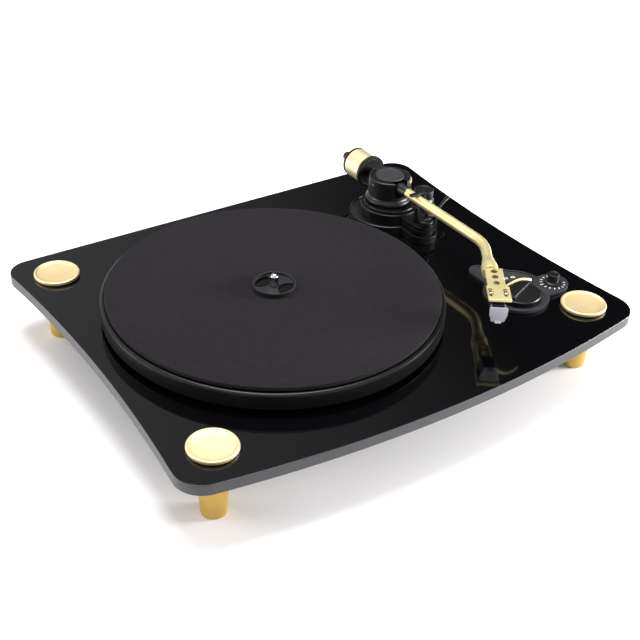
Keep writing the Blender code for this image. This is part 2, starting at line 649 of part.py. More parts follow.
phono = piece("phono_sockets", block(phono_width, phono_depth, SOCKET_HEIGHT, (0, -phono_depth / 2, 0)),
              SATIN_BLACK, phono_place)
combine(phono, tool("phono_barrels", backward_pair(disc(BARREL_RADIUS, -phono_depth / 2, barrel_reach),
                                                   SMALL_ROUND), phono_place), "UNION")
combine(phono, tool("phono_bores", backward_pair(disc(PIN_HOLE_RADIUS, -phono_depth / 2,
                                                      barrel_reach + OVERRUN), SCREW_ROUND), phono_place),
        "DIFFERENCE")
combine(tray, tool("phono_windows", backward_pair(disc(BARREL_RADIUS + SEAT_GAP, -OVERRUN,
                                                       TRAY_WALL + OVERRUN), SMALL_ROUND), phono_place),
        "DIFFERENCE")

power_place = (POWER_X, TRAY_REAR, socket_middle)
power_front = SOCKET_FRONT - TRAY_REAR
power = piece("power_socket", block(SOCKET_SIZE, -power_front, SOCKET_HEIGHT, (0, power_front / 2, 0)),
              SATIN_BLACK, power_place)
power_bore = turned(ring(POWER_BORE, POWER_PIN, -POWER_DEPTH, OVERRUN), SMALL_ROUND)
combine(power, tool("power_bore", laid_along(power_bore, BACKWARD), power_place), "DIFFERENCE")
power_window = block(SOCKET_SIZE + 2 * SEAT_GAP, 4 * TRAY_WALL, SOCKET_HEIGHT + 2 * SEAT_GAP)
combine(tray, tool("power_window", power_window, power_place), "DIFFERENCE")

earth_place = (EARTH_X, TRAY_REAR, socket_middle)
earth_profile = [(0, -EARTH_REACH), (EARTH_RADIUS, -EARTH_REACH), (EARTH_RADIUS, SEAT_GAP),
                 (EARTH_KNOB, SEAT_GAP), (EARTH_KNOB, EARTH_KNOB_LENGTH), (0, EARTH_KNOB_LENGTH)]
piece("earth_terminal", laid_along(turned(earth_profile, SMALL_ROUND), BACKWARD), ZINC, earth_place)
earth_window = laid_along(turned(disc(EARTH_RADIUS + SEAT_GAP, -2 * TRAY_WALL, OVERRUN), SCREW_ROUND),
                          BACKWARD)
combine(tray, tool("earth_window", earth_window, earth_place), "DIFFERENCE")


# Tonearm base: a stepped moulding with a front lobe under the tube and a side lobe for anti-skate
FLANGE_TIER_RADIUS = 0.0375
FLANGE_TIER_TOP = 0.0080
UPPER_TIER_RADIUS = 0.0295
UPPER_TIER_Y = -0.0035
UPPER_TIER_TOP = 0.0200
LOBE_X = 0.0031
LOBE_Y = -0.0530
LOBE_RADIUS = 0.0145
LOBE_UPPER_RADIUS = 0.0112
LOBE_UPPER_TOP = 0.0170
SKATE_X = 0.0390
SKATE_Y = -0.0080
SKATE_LOBE_RADIUS = 0.0128
SKATE_UPPER_RADIUS = 0.0112
SKATE_UPPER_TOP = 0.0115
TIER_EDGE = 0.0010
SLEEVE_RADIUS = 0.0070
SLEEVE_BORE = 0.0043
base_place = (ARM_X, ARM_Y, DECK)


def tier(radius, low, high, steps=ROUND):
    """A round step of the base with a chamfered upper lip."""
    return turned([(0, low), (radius, low), (radius, high - TIER_EDGE), (radius - TIER_EDGE, high),
                   (0, high)], steps)


base = piece("tonearm_base", tier(FLANGE_TIER_RADIUS, SEAT_GAP, FLANGE_TIER_TOP), SATIN_BLACK, base_place)
base_additions = {
    "upper_tier": gathered([tier(UPPER_TIER_RADIUS, FLANGE_TIER_TOP / 2, UPPER_TIER_TOP)],
                           [(0, UPPER_TIER_Y, 0)]),
    "front_lobe": slab(hull_outline([(LOBE_X, LOBE_Y / 3, LOBE_RADIUS), (LOBE_X, LOBE_Y, LOBE_RADIUS)],
                                    SMALL_ROUND), SEAT_GAP, FLANGE_TIER_TOP, TIER_EDGE),
    "front_lobe_upper": slab(hull_outline([(LOBE_X, LOBE_Y / 3, LOBE_UPPER_RADIUS),
                                           (LOBE_X, LOBE_Y, LOBE_UPPER_RADIUS)], SMALL_ROUND),
                             FLANGE_TIER_TOP / 2, LOBE_UPPER_TOP, TIER_EDGE),
    "side_lobe": slab(hull_outline([(SKATE_X / 3, SKATE_Y / 3, SKATE_LOBE_RADIUS),
                                    (SKATE_X, SKATE_Y, SKATE_LOBE_RADIUS)], SMALL_ROUND),
                      SEAT_GAP, FLANGE_TIER_TOP, TIER_EDGE),
    "side_lobe_upper": slab(hull_outline([(SKATE_X / 2, SKATE_Y / 2, SKATE_UPPER_RADIUS),
                                          (SKATE_X, SKATE_Y, SKATE_UPPER_RADIUS)], SMALL_ROUND),
                            FLANGE_TIER_TOP / 2, SKATE_UPPER_TOP, TIER_EDGE),
}
for name, shape in base_additions.items():
    combine(base, tool("base_" + name, shape, base_place), "UNION")
combine(base, tool("base_bore", turned(disc(SLEEVE_RADIUS + SEAT_GAP, -OVERRUN, UPPER_TIER_TOP + OVERRUN),
                                       SMALL_ROUND), base_place), "DIFFERENCE")
bore_plinth("arm_hole", SLEEVE_RADIUS + SEAT_GAP, [(ARM_X, ARM_Y)])

# Pivot sleeve: the fixed upright bearing that the arm's shaft turns in. It passes down through the
# base and the plinth, and the nut on its lower end clamps them together
SLEEVE_LOW = -0.0150
BASE_NUT_RADIUS = 0.0115
BASE_NUT_HEIGHT = 0.0035
SLEEVE_FLANGE = 0.0120
SLEEVE_FLANGE_THICKNESS = 0.0015
SLEEVE_FLANGE_TOP = UPPER_TIER_TOP + SLEEVE_FLANGE_THICKNESS
SLEEVE_TOP = 0.0270
sleeve_profile = [
    (SLEEVE_BORE, SLEEVE_LOW),
    (SLEEVE_RADIUS, SLEEVE_LOW),
    (SLEEVE_RADIUS, UPPER_TIER_TOP + SEAT_GAP),
    (SLEEVE_FLANGE, UPPER_TIER_TOP + SEAT_GAP),
    (SLEEVE_FLANGE, SLEEVE_FLANGE_TOP),
    (SLEEVE_RADIUS, SLEEVE_FLANGE_TOP),
    (SLEEVE_RADIUS, SLEEVE_TOP),
    (SLEEVE_BORE, SLEEVE_TOP),
]
piece("pivot_sleeve", turned(sleeve_profile, SMALL_ROUND), ZINC, base_place)
base_nut = ring(BASE_NUT_RADIUS, SLEEVE_RADIUS + SEAT_GAP, under_plinth - BASE_NUT_HEIGHT, under_plinth)
piece("base_nut", turned(base_nut, SMALL_ROUND), ZINC, base_place)

# Anti-skate knob on the side lobe, with a flared skirt
SKATE_KNOB_RADIUS = 0.0096
SKATE_SKIRT_RADIUS = 0.0110
SKATE_KNOB_TOP = 0.0245
SKATE_SKIRT_HEIGHT = 0.0030
skate_axis = axis_point("anti_skate_axis", (ARM_X + SKATE_X, ARM_Y + SKATE_Y, DECK))
skate_low = SKATE_UPPER_TOP + SEAT_GAP
skate_profile = [
    (0, skate_low),
    (SKATE_SKIRT_RADIUS, skate_low),
    (SKATE_SKIRT_RADIUS, skate_low + SKATE_SKIRT_HEIGHT / 2),
    (SKATE_KNOB_RADIUS, skate_low + SKATE_SKIRT_HEIGHT),
    (SKATE_KNOB_RADIUS, SKATE_KNOB_TOP - TIER_EDGE),
    (SKATE_KNOB_RADIUS - TIER_EDGE, SKATE_KNOB_TOP),
    (0, SKATE_KNOB_TOP),
]
piece("anti_skate_knob", turned(skate_profile, SMALL_ROUND), SATIN_BLACK, parent=skate_axis)
skate_relief = turned(disc(SKATE_SKIRT_RADIUS + 2 * SEAT_GAP, SKATE_UPPER_TOP, UPPER_TIER_TOP + OVERRUN))
combine(base, tool("skate_relief", skate_relief, parent=skate_axis), "DIFFERENCE")

# Lift platform: a small round platform that rises under the tube
PLATFORM_X = 0.0018
PLATFORM_Y = -0.0592
PLATFORM_RADIUS = 0.0066
PLATFORM_TOP = 0.0235
PLATFORM_HEIGHT = 0.0060
STEM_RADIUS = 0.0022
STEM_LOW = 0.0035
platform_axis = axis_point("lift_platform_axis", (ARM_X + PLATFORM_X, ARM_Y + PLATFORM_Y, DECK))
platform_low = PLATFORM_TOP - PLATFORM_HEIGHT
platform_profile = [(0, STEM_LOW), (STEM_RADIUS, STEM_LOW), (STEM_RADIUS, platform_low),
                    (PLATFORM_RADIUS, platform_low), (PLATFORM_RADIUS, PLATFORM_TOP - TIER_EDGE),
                    (PLATFORM_RADIUS - TIER_EDGE, PLATFORM_TOP), (0, PLATFORM_TOP)]
piece("lift_platform", turned(platform_profile, SMALL_ROUND), SATIN_BLACK, parent=platform_axis)
stem_hole = turned(disc(STEM_RADIUS + SEAT_GAP, STEM_LOW - SEAT_GAP, LOBE_UPPER_TOP + OVERRUN), SCREW_ROUND)
combine(base, tool("stem_hole", stem_hole, (ARM_X + PLATFORM_X, ARM_Y + PLATFORM_Y, DECK)), "DIFFERENCE")

# Cue lever: a thin rod that raises the lift platform, pivoted in a cheek on the front lobe
LEVER_X = 0.0125
LEVER_Y = -0.0530
LEVER_HEIGHT = 0.0208
LEVER_LENGTH = 0.0487
LEVER_RADIUS = 0.0013
LEVER_GRIP_RADIUS = 0.0019
LEVER_GRIP_LENGTH = 0.0100
LEVER_BOSS_RADIUS = 0.0030
LEVER_BOSS_HALF = 0.0030
LEVER_TURN = math.radians(30.7)
CHEEK_THICKNESS = 0.0025
CHEEK_HEIGHT = 0.0038
lever_direction = Vector((math.cos(LEVER_TURN), math.sin(LEVER_TURN), 0))
lever_hinge = Vector((-math.sin(LEVER_TURN), math.cos(LEVER_TURN), 0))
lever_axis = axis_point("cue_lever_axis", (ARM_X + LEVER_X, ARM_Y + LEVER_Y, on_deck(LEVER_HEIGHT)))
lever = piece("cue_lever", laid_along(turned(disc(LEVER_BOSS_RADIUS, -LEVER_BOSS_HALF, LEVER_BOSS_HALF),
                                             SCREW_ROUND), lever_hinge), SATIN_BLACK, parent=lever_axis)
lever_profile = [(0, 0), (LEVER_RADIUS, 0), (LEVER_RADIUS, LEVER_LENGTH - LEVER_GRIP_LENGTH),
                 (LEVER_GRIP_RADIUS, LEVER_LENGTH - LEVER_GRIP_LENGTH + LEVER_GRIP_RADIUS),
                 (LEVER_GRIP_RADIUS, LEVER_LENGTH - LEVER_RADIUS), (0, LEVER_LENGTH)]
combine(lever, tool("lever_rod", laid_along(turned(lever_profile, SCREW_ROUND), lever_direction),
                    parent=lever_axis), "UNION")
cheek_offset = LEVER_BOSS_HALF + SEAT_GAP + CHEEK_THICKNESS / 2
cheek_low = FLANGE_TIER_TOP / 2 - LEVER_HEIGHT
for side, name in ((1, "lever_cheek_rear"), (-1, "lever_cheek_front")):
    cheek = block(2 * LEVER_BOSS_RADIUS, CHEEK_THICKNESS, CHEEK_HEIGHT - cheek_low,
                  (0, side * cheek_offset, (CHEEK_HEIGHT + cheek_low) / 2))
    bmesh.ops.rotate(cheek, verts=cheek.verts, matrix=Matrix.Rotation(LEVER_TURN, 3, "Z"))
    combine(base, tool(name, cheek, (ARM_X + LEVER_X, ARM_Y + LEVER_Y, on_deck(LEVER_HEIGHT))), "UNION")

# Arm rest: a post with a ledge under the tube and a wall on its outer side; the inner side is open
REST_Y = -0.0455
REST_LENGTH = 0.0060
LEDGE_HALF = 0.0056
LEDGE_THICKNESS = 0.0030
REST_WALL = 0.0024
REST_POST_RADIUS = 0.0026
REST_POST_LOW = 0.0120
CLIP_HINGE_RISE = 0.0064
ledge_top = ARM_HEIGHT - TUBE_RADIUS - SEAT_GAP
wall_inner = TUBE_RADIUS + SEAT_GAP + SEAT_GAP
clip_x = wall_inner + REST_WALL / 2
clip_height = ARM_HEIGHT + CLIP_HINGE_RISE
rest_place = (ARM_X, ARM_Y + REST_Y, DECK)
rest = piece("arm_rest", block(LEDGE_HALF + wall_inner + REST_WALL, REST_LENGTH, LEDGE_THICKNESS,
                               ((wall_inner + REST_WALL - LEDGE_HALF) / 2, 0,
                                ledge_top - LEDGE_THICKNESS / 2)), SATIN_BLACK, rest_place)
rest_wall_top = clip_height - REST_WALL / 2 - 2 * SEAT_GAP
rest_wall_low = ledge_top - LEDGE_THICKNESS / 2
combine(rest, tool("rest_wall", block(REST_WALL, REST_LENGTH, rest_wall_top - rest_wall_low,
                                      (clip_x, 0, (rest_wall_top + rest_wall_low) / 2)), rest_place),
        "UNION")
combine(rest, tool("rest_post", turned(disc(REST_POST_RADIUS, REST_POST_LOW,
                                            ledge_top - LEDGE_THICKNESS / 2), SCREW_ROUND), rest_place),
        "UNION")
combine(base, tool("rest_hole", turned(disc(REST_POST_RADIUS + SEAT_GAP, REST_POST_LOW - SEAT_GAP,
                                            LOBE_UPPER_TOP + OVERRUN), SCREW_ROUND), rest_place),
        "DIFFERENCE")

# Arm clip: a finger hinged on the rest's outer wall, lying over the tube
CLIP_REACH = 0.0130
CLIP_THICKNESS = 0.0022
clip_axis = axis_point("arm_clip_axis", (ARM_X + clip_x, ARM_Y + REST_Y, on_deck(clip_height)))
clip = piece("arm_clip", laid_along(turned(disc(REST_WALL / 2, -REST_LENGTH / 2, REST_LENGTH / 2),
                                           SCREW_ROUND), BACKWARD), SATIN_BLACK, parent=clip_axis)
clip_finger = block(CLIP_REACH, REST_LENGTH / 2, CLIP_THICKNESS, (-CLIP_REACH / 2, 0, 0))
combine(clip, tool("clip_finger", clip_finger, parent=clip_axis), "UNION")


# Tonearm: a drum that swings on an upright shaft carries the arm between two pivot screws
SHAFT_BEARING_RADIUS = SLEEVE_BORE - SEAT_GAP
SWING_SHAFT_LOW = 0.0040
SWING_SHAFT_TOP = 0.0293
DRUM_RADIUS = 0.0206
DRUM_FOOT_RADIUS = 0.0230
DRUM_LOW = 0.0218
DRUM_FOOT_TOP = 0.0245
DRUM_FLARE_TOP = 0.0280
DRUM_TOP = 0.0460
DRUM_EDGE = 0.0008
CAP_RECESS_RADIUS = 0.0172
CAP_SEAT = 0.0453
CAP_RADIUS = 0.0142
CAP_TOP = 0.0467
CHANNEL_HALF = 0.0072
CHANNEL_FLOOR_FRONT = 0.0304
CHANNEL_FLOOR_REAR = 0.0284
CHANNEL_ROOF_REAR = 0.0434
CHANNEL_STEP_Y = 0.0065
PIVOT_SCREW_RADIUS = 0.0016
PIVOT_SCREW_PROUD = 0.0004

swing_axis = axis_point("arm_swing_axis", (ARM_X, ARM_Y, DECK))
piece("swing_shaft", turned(disc(SHAFT_BEARING_RADIUS, SWING_SHAFT_LOW, SWING_SHAFT_TOP), SMALL_ROUND),
      STEEL, parent=swing_axis)
drum_profile = [
    (0, SWING_SHAFT_TOP + SEAT_GAP),
    (SLEEVE_BORE, SWING_SHAFT_TOP + SEAT_GAP),
    (SLEEVE_BORE, SLEEVE_TOP + SEAT_GAP),
    (SLEEVE_RADIUS + SEAT_GAP, SLEEVE_TOP + SEAT_GAP),
    (SLEEVE_RADIUS + SEAT_GAP, DRUM_LOW),
    (DRUM_FOOT_RADIUS, DRUM_LOW),
    (DRUM_FOOT_RADIUS, DRUM_FOOT_TOP),
    (DRUM_RADIUS, DRUM_FLARE_TOP),
    (DRUM_RADIUS, DRUM_TOP - DRUM_EDGE),
    (DRUM_RADIUS - DRUM_EDGE, DRUM_TOP),
    (CAP_RECESS_RADIUS, DRUM_TOP),
    (CAP_RECESS_RADIUS, CAP_SEAT),
    (0, CAP_SEAT),
]
drum = piece("pivot_housing", turned(drum_profile, ROUND), SATIN_BLACK, parent=swing_axis)
channel_front = block(2 * CHANNEL_HALF, 2 * DRUM_RADIUS + CHANNEL_STEP_Y, DRUM_TOP,
                      (0, CHANNEL_STEP_Y / 2 - DRUM_RADIUS, CHANNEL_FLOOR_FRONT + DRUM_TOP / 2))
channel_rear = block(2 * CHANNEL_HALF, 2 * DRUM_RADIUS, CHANNEL_ROOF_REAR - CHANNEL_FLOOR_REAR,
                     (0, CHANNEL_STEP_Y - SEAT_GAP + DRUM_RADIUS,
                      (CHANNEL_ROOF_REAR + CHANNEL_FLOOR_REAR) / 2))
combine(drum, tool("channel_front", channel_front, parent=swing_axis), "DIFFERENCE")
combine(drum, tool("channel_rear", channel_rear, parent=swing_axis), "DIFFERENCE")
pivot_holes = laid_along(turned(disc(PIVOT_SCREW_RADIUS + SEAT_GAP, -2 * DRUM_RADIUS, 2 * DRUM_RADIUS),
                                SCREW_ROUND), (1, 0, 0), (0, 0, ARM_HEIGHT))
combine(drum, tool("pivot_holes", pivot_holes, parent=swing_axis), "DIFFERENCE")
piece("pivot_cap", turned(disc(CAP_RADIUS, CAP_SEAT + SEAT_GAP, CAP_TOP, DRUM_EDGE / 2), ROUND), SATIN_BLACK,
      parent=swing_axis)

AXLE_HALF = 0.0067
pivot_screw_length = DRUM_RADIUS + PIVOT_SCREW_PROUD - AXLE_HALF - SEAT_GAP
pivot_screw_x = AXLE_HALF + SEAT_GAP + pivot_screw_length / 2
for side, side_name in ((-1, "left"), (1, "right")):
    pivot_screw = turned(disc(PIVOT_SCREW_RADIUS, -pivot_screw_length / 2, pivot_screw_length / 2),
                         SCREW_ROUND)
    piece("pivot_screw_" + side_name, laid_along(pivot_screw, (1, 0, 0)), STEEL,
          (side * pivot_screw_x, 0, ARM_HEIGHT), swing_axis)

# Arm hub: the cross axle between the pivot screws, with the collar that grips the tube
HUB_AXLE_RADIUS = 0.0050
HUB_ROD_RADIUS = 0.0030
STUB_DROP = 0.0030
STUB_RADIUS = 0.0045
STUB_FRONT = 0.0210
STUB_GRIP = 0.0050
STUB_END = 0.0745
COLLAR_START = 0.0163
COLLAR_SHOULDER = 0.0182
COLLAR_END = 0.0295
COLLAR_START_RADIUS = 0.0054
COLLAR_RADIUS = 0.0062
COLLAR_END_RADIUS = 0.0056
TUBE_START = 0.0223
FORWARD = (0, -1, 0)

lift_axis = axis_point("arm_lift_axis", (0, 0, ARM_HEIGHT), swing_axis)
hub_axle = turned(disc(HUB_AXLE_RADIUS, -AXLE_HALF, AXLE_HALF), SMALL_ROUND)
hub = piece("arm_hub", laid_along(hub_axle, (1, 0, 0)), SATIN_BLACK, parent=lift_axis)
collar_profile = [
    (0, 0),
    (HUB_ROD_RADIUS, 0),
    (HUB_ROD_RADIUS, COLLAR_START),
    (COLLAR_START_RADIUS, COLLAR_START),
    (COLLAR_RADIUS, COLLAR_SHOULDER),
    (COLLAR_END_RADIUS, COLLAR_END),
    (TUBE_RADIUS + SEAT_GAP, COLLAR_END),
    (TUBE_RADIUS + SEAT_GAP, TUBE_START - SEAT_GAP),
    (0, TUBE_START - SEAT_GAP),
]
combine(hub, tool("hub_collar", laid_along(turned(collar_profile, SMALL_ROUND), FORWARD), parent=lift_axis),
        "UNION")
rear_rod = laid_along(turned(disc(HUB_ROD_RADIUS, 0, STUB_FRONT + STUB_GRIP - SEAT_GAP), SCREW_ROUND),
                      BACKWARD, (0, 0, -STUB_DROP))
combine(hub, tool("hub_rear_rod", rear_rod, parent=lift_axis), "UNION")

stub_profile = [
    (0, STUB_GRIP),
    (HUB_ROD_RADIUS + SEAT_GAP, STUB_GRIP),
    (HUB_ROD_RADIUS + SEAT_GAP, 0),
    (STUB_RADIUS, 0),
    (STUB_RADIUS, STUB_END - STUB_FRONT - DRUM_EDGE),
    (STUB_RADIUS - DRUM_EDGE, STUB_END - STUB_FRONT),
    (0, STUB_END - STUB_FRONT),
]
weight_axis = axis_point("counterweight_axis", (0, 0, -STUB_DROP), lift_axis)
piece("rear_stub", laid_along(turned(stub_profile, SMALL_ROUND), BACKWARD, (0, STUB_FRONT, -STUB_DROP)),
      SATIN_BLACK, parent=lift_axis)

# Counterweight: a gold drum between the black tracking dial in front and a black cap behind
DIAL_FRONT = 0.0303
DIAL_REAR = 0.0340
DIAL_RADIUS = 0.0162
WEIGHT_REAR = 0.0562
WEIGHT_RADIUS = 0.0148
WEIGHT_CAP_REAR = 0.0594
WEIGHT_CAP_RADIUS = 0.0151
WEIGHT_EDGE = 0.0007
weight_bore = STUB_RADIUS + SEAT_GAP
dial_axis = axis_point("tracking_dial_axis", (0, 0, 0), weight_axis)
piece("tracking_dial", laid_along(turned(ring(DIAL_RADIUS, weight_bore, DIAL_FRONT, DIAL_REAR, WEIGHT_EDGE)),
                                  BACKWARD), SATIN_BLACK, parent=dial_axis)
weight = ring(WEIGHT_RADIUS, weight_bore, DIAL_REAR + SEAT_GAP, WEIGHT_REAR)
piece("counterweight", laid_along(turned(weight), BACKWARD), GOLD, parent=weight_axis)
piece("weight_cap", laid_along(turned(ring(WEIGHT_CAP_RADIUS, weight_bore, WEIGHT_REAR + SEAT_GAP,
                                           WEIGHT_CAP_REAR, WEIGHT_EDGE)), BACKWARD), SATIN_BLACK,
      parent=weight_axis)

# Arm tube: straight from the collar, then one bend inward, then straight to the headshell
BEND_START = 0.1310
BEND_RADIUS = 0.0410
BEND_ANGLE = math.radians(35.1)
BEND_STEPS = 8
STRAIGHT_AFTER_BEND = 0.0350
TUBE_WALL = 0.0008
tube_place = Matrix.Translation((0, -TUBE_START, 0)) @ Matrix.Rotation(math.pi / 2, 4, "X")
tube_shape = bmesh.new()
for radius in (TUBE_RADIUS, TUBE_RADIUS - TUBE_WALL):
    bmesh.ops.create_circle(tube_shape, segments=SMALL_ROUND, radius=radius, matrix=tube_place)
start_faces = bmesh.ops.bridge_loops(tube_shape, edges=list(tube_shape.edges))["faces"]


def extruded(shape, faces, move):
    """Grow the tube from the faces at its end by one move, and return the new end faces."""
    grown = bmesh.ops.extrude_face_region(shape, geom=faces)["geom"]
    points = [item for item in grown if isinstance(item, bmesh.types.BMVert)]
    bmesh.ops.transform(shape, matrix=move, verts=points)
    return [item for item in grown if isinstance(item, bmesh.types.BMFace)]


bend_centre = Matrix.Translation((-BEND_RADIUS, -BEND_START, 0))
bend_step = bend_centre @ Matrix.Rotation(-BEND_ANGLE / BEND_STEPS, 4, "Z") @ bend_centre.inverted()
shell_direction = Vector((-math.sin(BEND_ANGLE), -math.cos(BEND_ANGLE), 0))
shell_across = Vector((math.cos(BEND_ANGLE), -math.sin(BEND_ANGLE), 0))
moves = [Matrix.Translation((0, TUBE_START - BEND_START, 0))] + [bend_step] * BEND_STEPS
moves.append(Matrix.Translation(STRAIGHT_AFTER_BEND * shell_direction))
end_faces = start_faces
for move in moves:
    old_faces = end_faces
    end_faces = extruded(tube_shape, old_faces, move)
    if old_faces != start_faces:
        bmesh.ops.delete(tube_shape, geom=old_faces, context="FACES")
bmesh.ops.recalc_face_normals(tube_shape, faces=tube_shape.faces)
piece("arm_tube", tube_shape, GOLD, parent=lift_axis)

# Shell collar: the flared ferrule between the tube and the headshell
FERRULE_BACK = 0.0180
FERRULE_FLARE = 0.0070
FERRULE_BACK_RADIUS = 0.0053
FERRULE_RADIUS = 0.0074
FERRULE_FRONT = 0.0030
bend_end = Vector((-BEND_RADIUS * (1 - math.cos(BEND_ANGLE)),
                   -BEND_START - BEND_RADIUS * math.sin(BEND_ANGLE), 0))
tube_end = bend_end + STRAIGHT_AFTER_BEND * shell_direction
ferrule_profile = [
    (0, SEAT_GAP),
    (TUBE_RADIUS + SEAT_GAP, SEAT_GAP),
    (TUBE_RADIUS + SEAT_GAP, -FERRULE_BACK),
    (FERRULE_BACK_RADIUS, -FERRULE_BACK),
    (FERRULE_RADIUS, -FERRULE_FLARE),
    (FERRULE_RADIUS, FERRULE_FRONT - DRUM_EDGE),
    (FERRULE_RADIUS - DRUM_EDGE, FERRULE_FRONT),
    (0, FERRULE_FRONT),
]
piece("shell_collar", laid_along(turned(ferrule_profile, SMALL_ROUND), shell_direction, tube_end), GOLD,
      parent=lift_axis)

# Headshell: a flat pierced plate, narrow behind and wider over the cartridge
SHELL_TOP = 0.0052         # above the tube's axis
SHELL_ASIDE = 0.0020       # from the tube's axis toward the outer side
SHELL_THICKNESS = 0.0028
NARROW_HALF = 0.0078
WIDE_HALF = 0.0104
NARROW_LENGTH = 0.0300
SHELL_LENGTH = 0.0510
SHOULDER = 0.0020
SHELL_HOLE_RADIUS = 0.0030
SHELL_HOLES = (0.0055, 0.0147, 0.0245)
SLOT_ALONG = 0.0398
SLOT_ACROSS = 0.00635
SLOT_HALF_WIDTH = 0.0013
SLOT_STEP = 0.0006
SLOT_STEP_DEPTH = 0.0012
SLOT_HALF_LENGTH = 0.0040
RIB_HALF = 0.0060
RIB_START = 0.0005
RIB_LENGTH = 0.0200
RIB_DEPTH = 0.0080

shell_start = tube_end + (FERRULE_FRONT + SEAT_GAP) * shell_direction + SHELL_ASIDE * shell_across
shell_frame = Matrix((
    (shell_across.x, -shell_direction.x, 0, shell_start.x),
    (shell_across.y, -shell_direction.y, 0, shell_start.y),
    (0, 0, 1, shell_start.z),
    (0, 0, 0, 1),
))
# In this frame X points across to the outer side, -Y points forward and Z up
shell_outline = [
    (NARROW_HALF, 0),
    (-NARROW_HALF, 0),
    (-NARROW_HALF, -NARROW_LENGTH + SHOULDER),
    (-WIDE_HALF, -NARROW_LENGTH),
    (-WIDE_HALF, -SHELL_LENGTH),
    (WIDE_HALF, -SHELL_LENGTH),
    (WIDE_HALF, -NARROW_LENGTH),
    (NARROW_HALF, -NARROW_LENGTH + SHOULDER),
]


def on_shell(shape):
    """Move a shape made in the headshell's own frame to its place on the arm."""
    bmesh.ops.transform(shape, matrix=shell_frame, verts=shape.verts)
    return shape


shell_low = SHELL_TOP - SHELL_THICKNESS
shell = piece("headshell", on_shell(slab(shell_outline, shell_low, SHELL_TOP)), GOLD, parent=lift_axis)
rib = block(2 * RIB_HALF, RIB_LENGTH, RIB_DEPTH, (0, -RIB_START - RIB_LENGTH / 2,
                                             shell_low + SHELL_THICKNESS / 2 - RIB_DEPTH / 2))
combine(shell, tool("shell_rib", on_shell(rib), parent=lift_axis), "UNION")
for number, along in enumerate(SHELL_HOLES):
    hole = turned(disc(SHELL_HOLE_RADIUS, shell_low - 4 * SHELL_THICKNESS, SHELL_TOP + OVERRUN), SMALL_ROUND)
    bmesh.ops.translate(hole, vec=(0, -along, 0), verts=hole.verts)
    combine(shell, tool("shell_hole_%d" % number, on_shell(hole), parent=lift_axis), "DIFFERENCE")
slot_cuts = (("slot", SLOT_HALF_WIDTH, shell_low - OVERRUN),
             ("slot_step", SLOT_HALF_WIDTH + SLOT_STEP, SHELL_TOP - SLOT_STEP_DEPTH))
for name, half_width, low in slot_cuts:
    for side, side_name in ((-1, "inner"), (1, "outer")):
        ends = [(side * SLOT_ACROSS, -SLOT_ALONG + end * SLOT_HALF_LENGTH, half_width) for end in (-1, 1)]
        slot = slab(hull_outline(ends, SCREW_ROUND), low, SHELL_TOP + OVERRUN)
        slot_cutter = tool("shell_%s_%s" % (name, side_name), on_shell(slot), parent=lift_axis)
        combine(shell, slot_cutter, "DIFFERENCE")

# Finger lift: a curved rod from the headshell's outer side
FINGER_ALONG = 0.0265
FINGER_RADIUS = 0.0012
FINGER_SPAN = 0.0220
FINGER_BOW = 0.0070
FINGER_RISE = 0.0030
FINGER_STEPS = 6
finger_shape = bmesh.new()
finger_rings = []
for step in range(FINGER_STEPS + 1):
    share = step / FINGER_STEPS
    centre = Vector((NARROW_HALF + SEAT_GAP + FINGER_SPAN * share,
                     -FINGER_ALONG + FINGER_BOW * share * share,
                     SHELL_TOP - SHELL_THICKNESS / 2 + FINGER_RISE * math.sin(math.pi * share)))
    points = []
    for corner in range(SCREW_ROUND):
        angle = math.tau * corner / SCREW_ROUND
        points.append(finger_shape.verts.new(centre + Vector((0, FINGER_RADIUS * math.cos(angle),
                                                              FINGER_RADIUS * math.sin(angle)))))
    finger_rings.append(points)
for first, second in zip(finger_rings, finger_rings[1:]):
    for corner in range(SCREW_ROUND):
        after = (corner + 1) % SCREW_ROUND
        finger_shape.faces.new((first[corner], first[after], second[after], second[corner]))
finger_shape.faces.new(finger_rings[0])
finger_shape.faces.new(finger_rings[-1])
bmesh.ops.recalc_face_normals(finger_shape, faces=finger_shape.faces)
piece("finger_lift", on_shell(finger_shape), GOLD, parent=lift_axis)

# Cartridge under the shell, held by two screws through the slots
EAR_HALF = 0.0088
EAR_LENGTH = 0.0075
EAR_DEPTH = 0.0028
BODY_HALF = 0.0055
BODY_BACK = 0.0300
BODY_FRONT = 0.0465
BODY_DEPTH = 0.0140
CARTRIDGE_SCREW_RADIUS = 0.0010
CARTRIDGE_HEAD_RADIUS = 0.0016
CARTRIDGE_HEAD_HEIGHT = 0.0016
cartridge_top = shell_low - SEAT_GAP
body_low = cartridge_top - BODY_DEPTH
cartridge_ears = block(2 * EAR_HALF, EAR_LENGTH, EAR_DEPTH, (0, -SLOT_ALONG, cartridge_top - EAR_DEPTH / 2))
cartridge = piece("cartridge", on_shell(cartridge_ears), SATIN_BLACK, parent=lift_axis)
cartridge_body = block(2 * BODY_HALF, BODY_FRONT - BODY_BACK, BODY_DEPTH,
                       (0, -(BODY_FRONT + BODY_BACK) / 2, (cartridge_top + body_low) / 2))
combine(cartridge, tool("cartridge_body", on_shell(cartridge_body), parent=lift_axis), "UNION")
screw_places = [(-SLOT_ACROSS, -SLOT_ALONG, 0), (SLOT_ACROSS, -SLOT_ALONG, 0)]
ear_holes = [turned(disc(CARTRIDGE_SCREW_RADIUS + SEAT_GAP, cartridge_top - EAR_DEPTH - OVERRUN,
                         cartridge_top + OVERRUN), SCREW_ROUND) for _ in screw_places]
combine(cartridge, tool("ear_holes", on_shell(gathered(ear_holes, screw_places)), parent=lift_axis),
        "DIFFERENCE")
screw_seat = SHELL_TOP - SLOT_STEP_DEPTH + SEAT_GAP
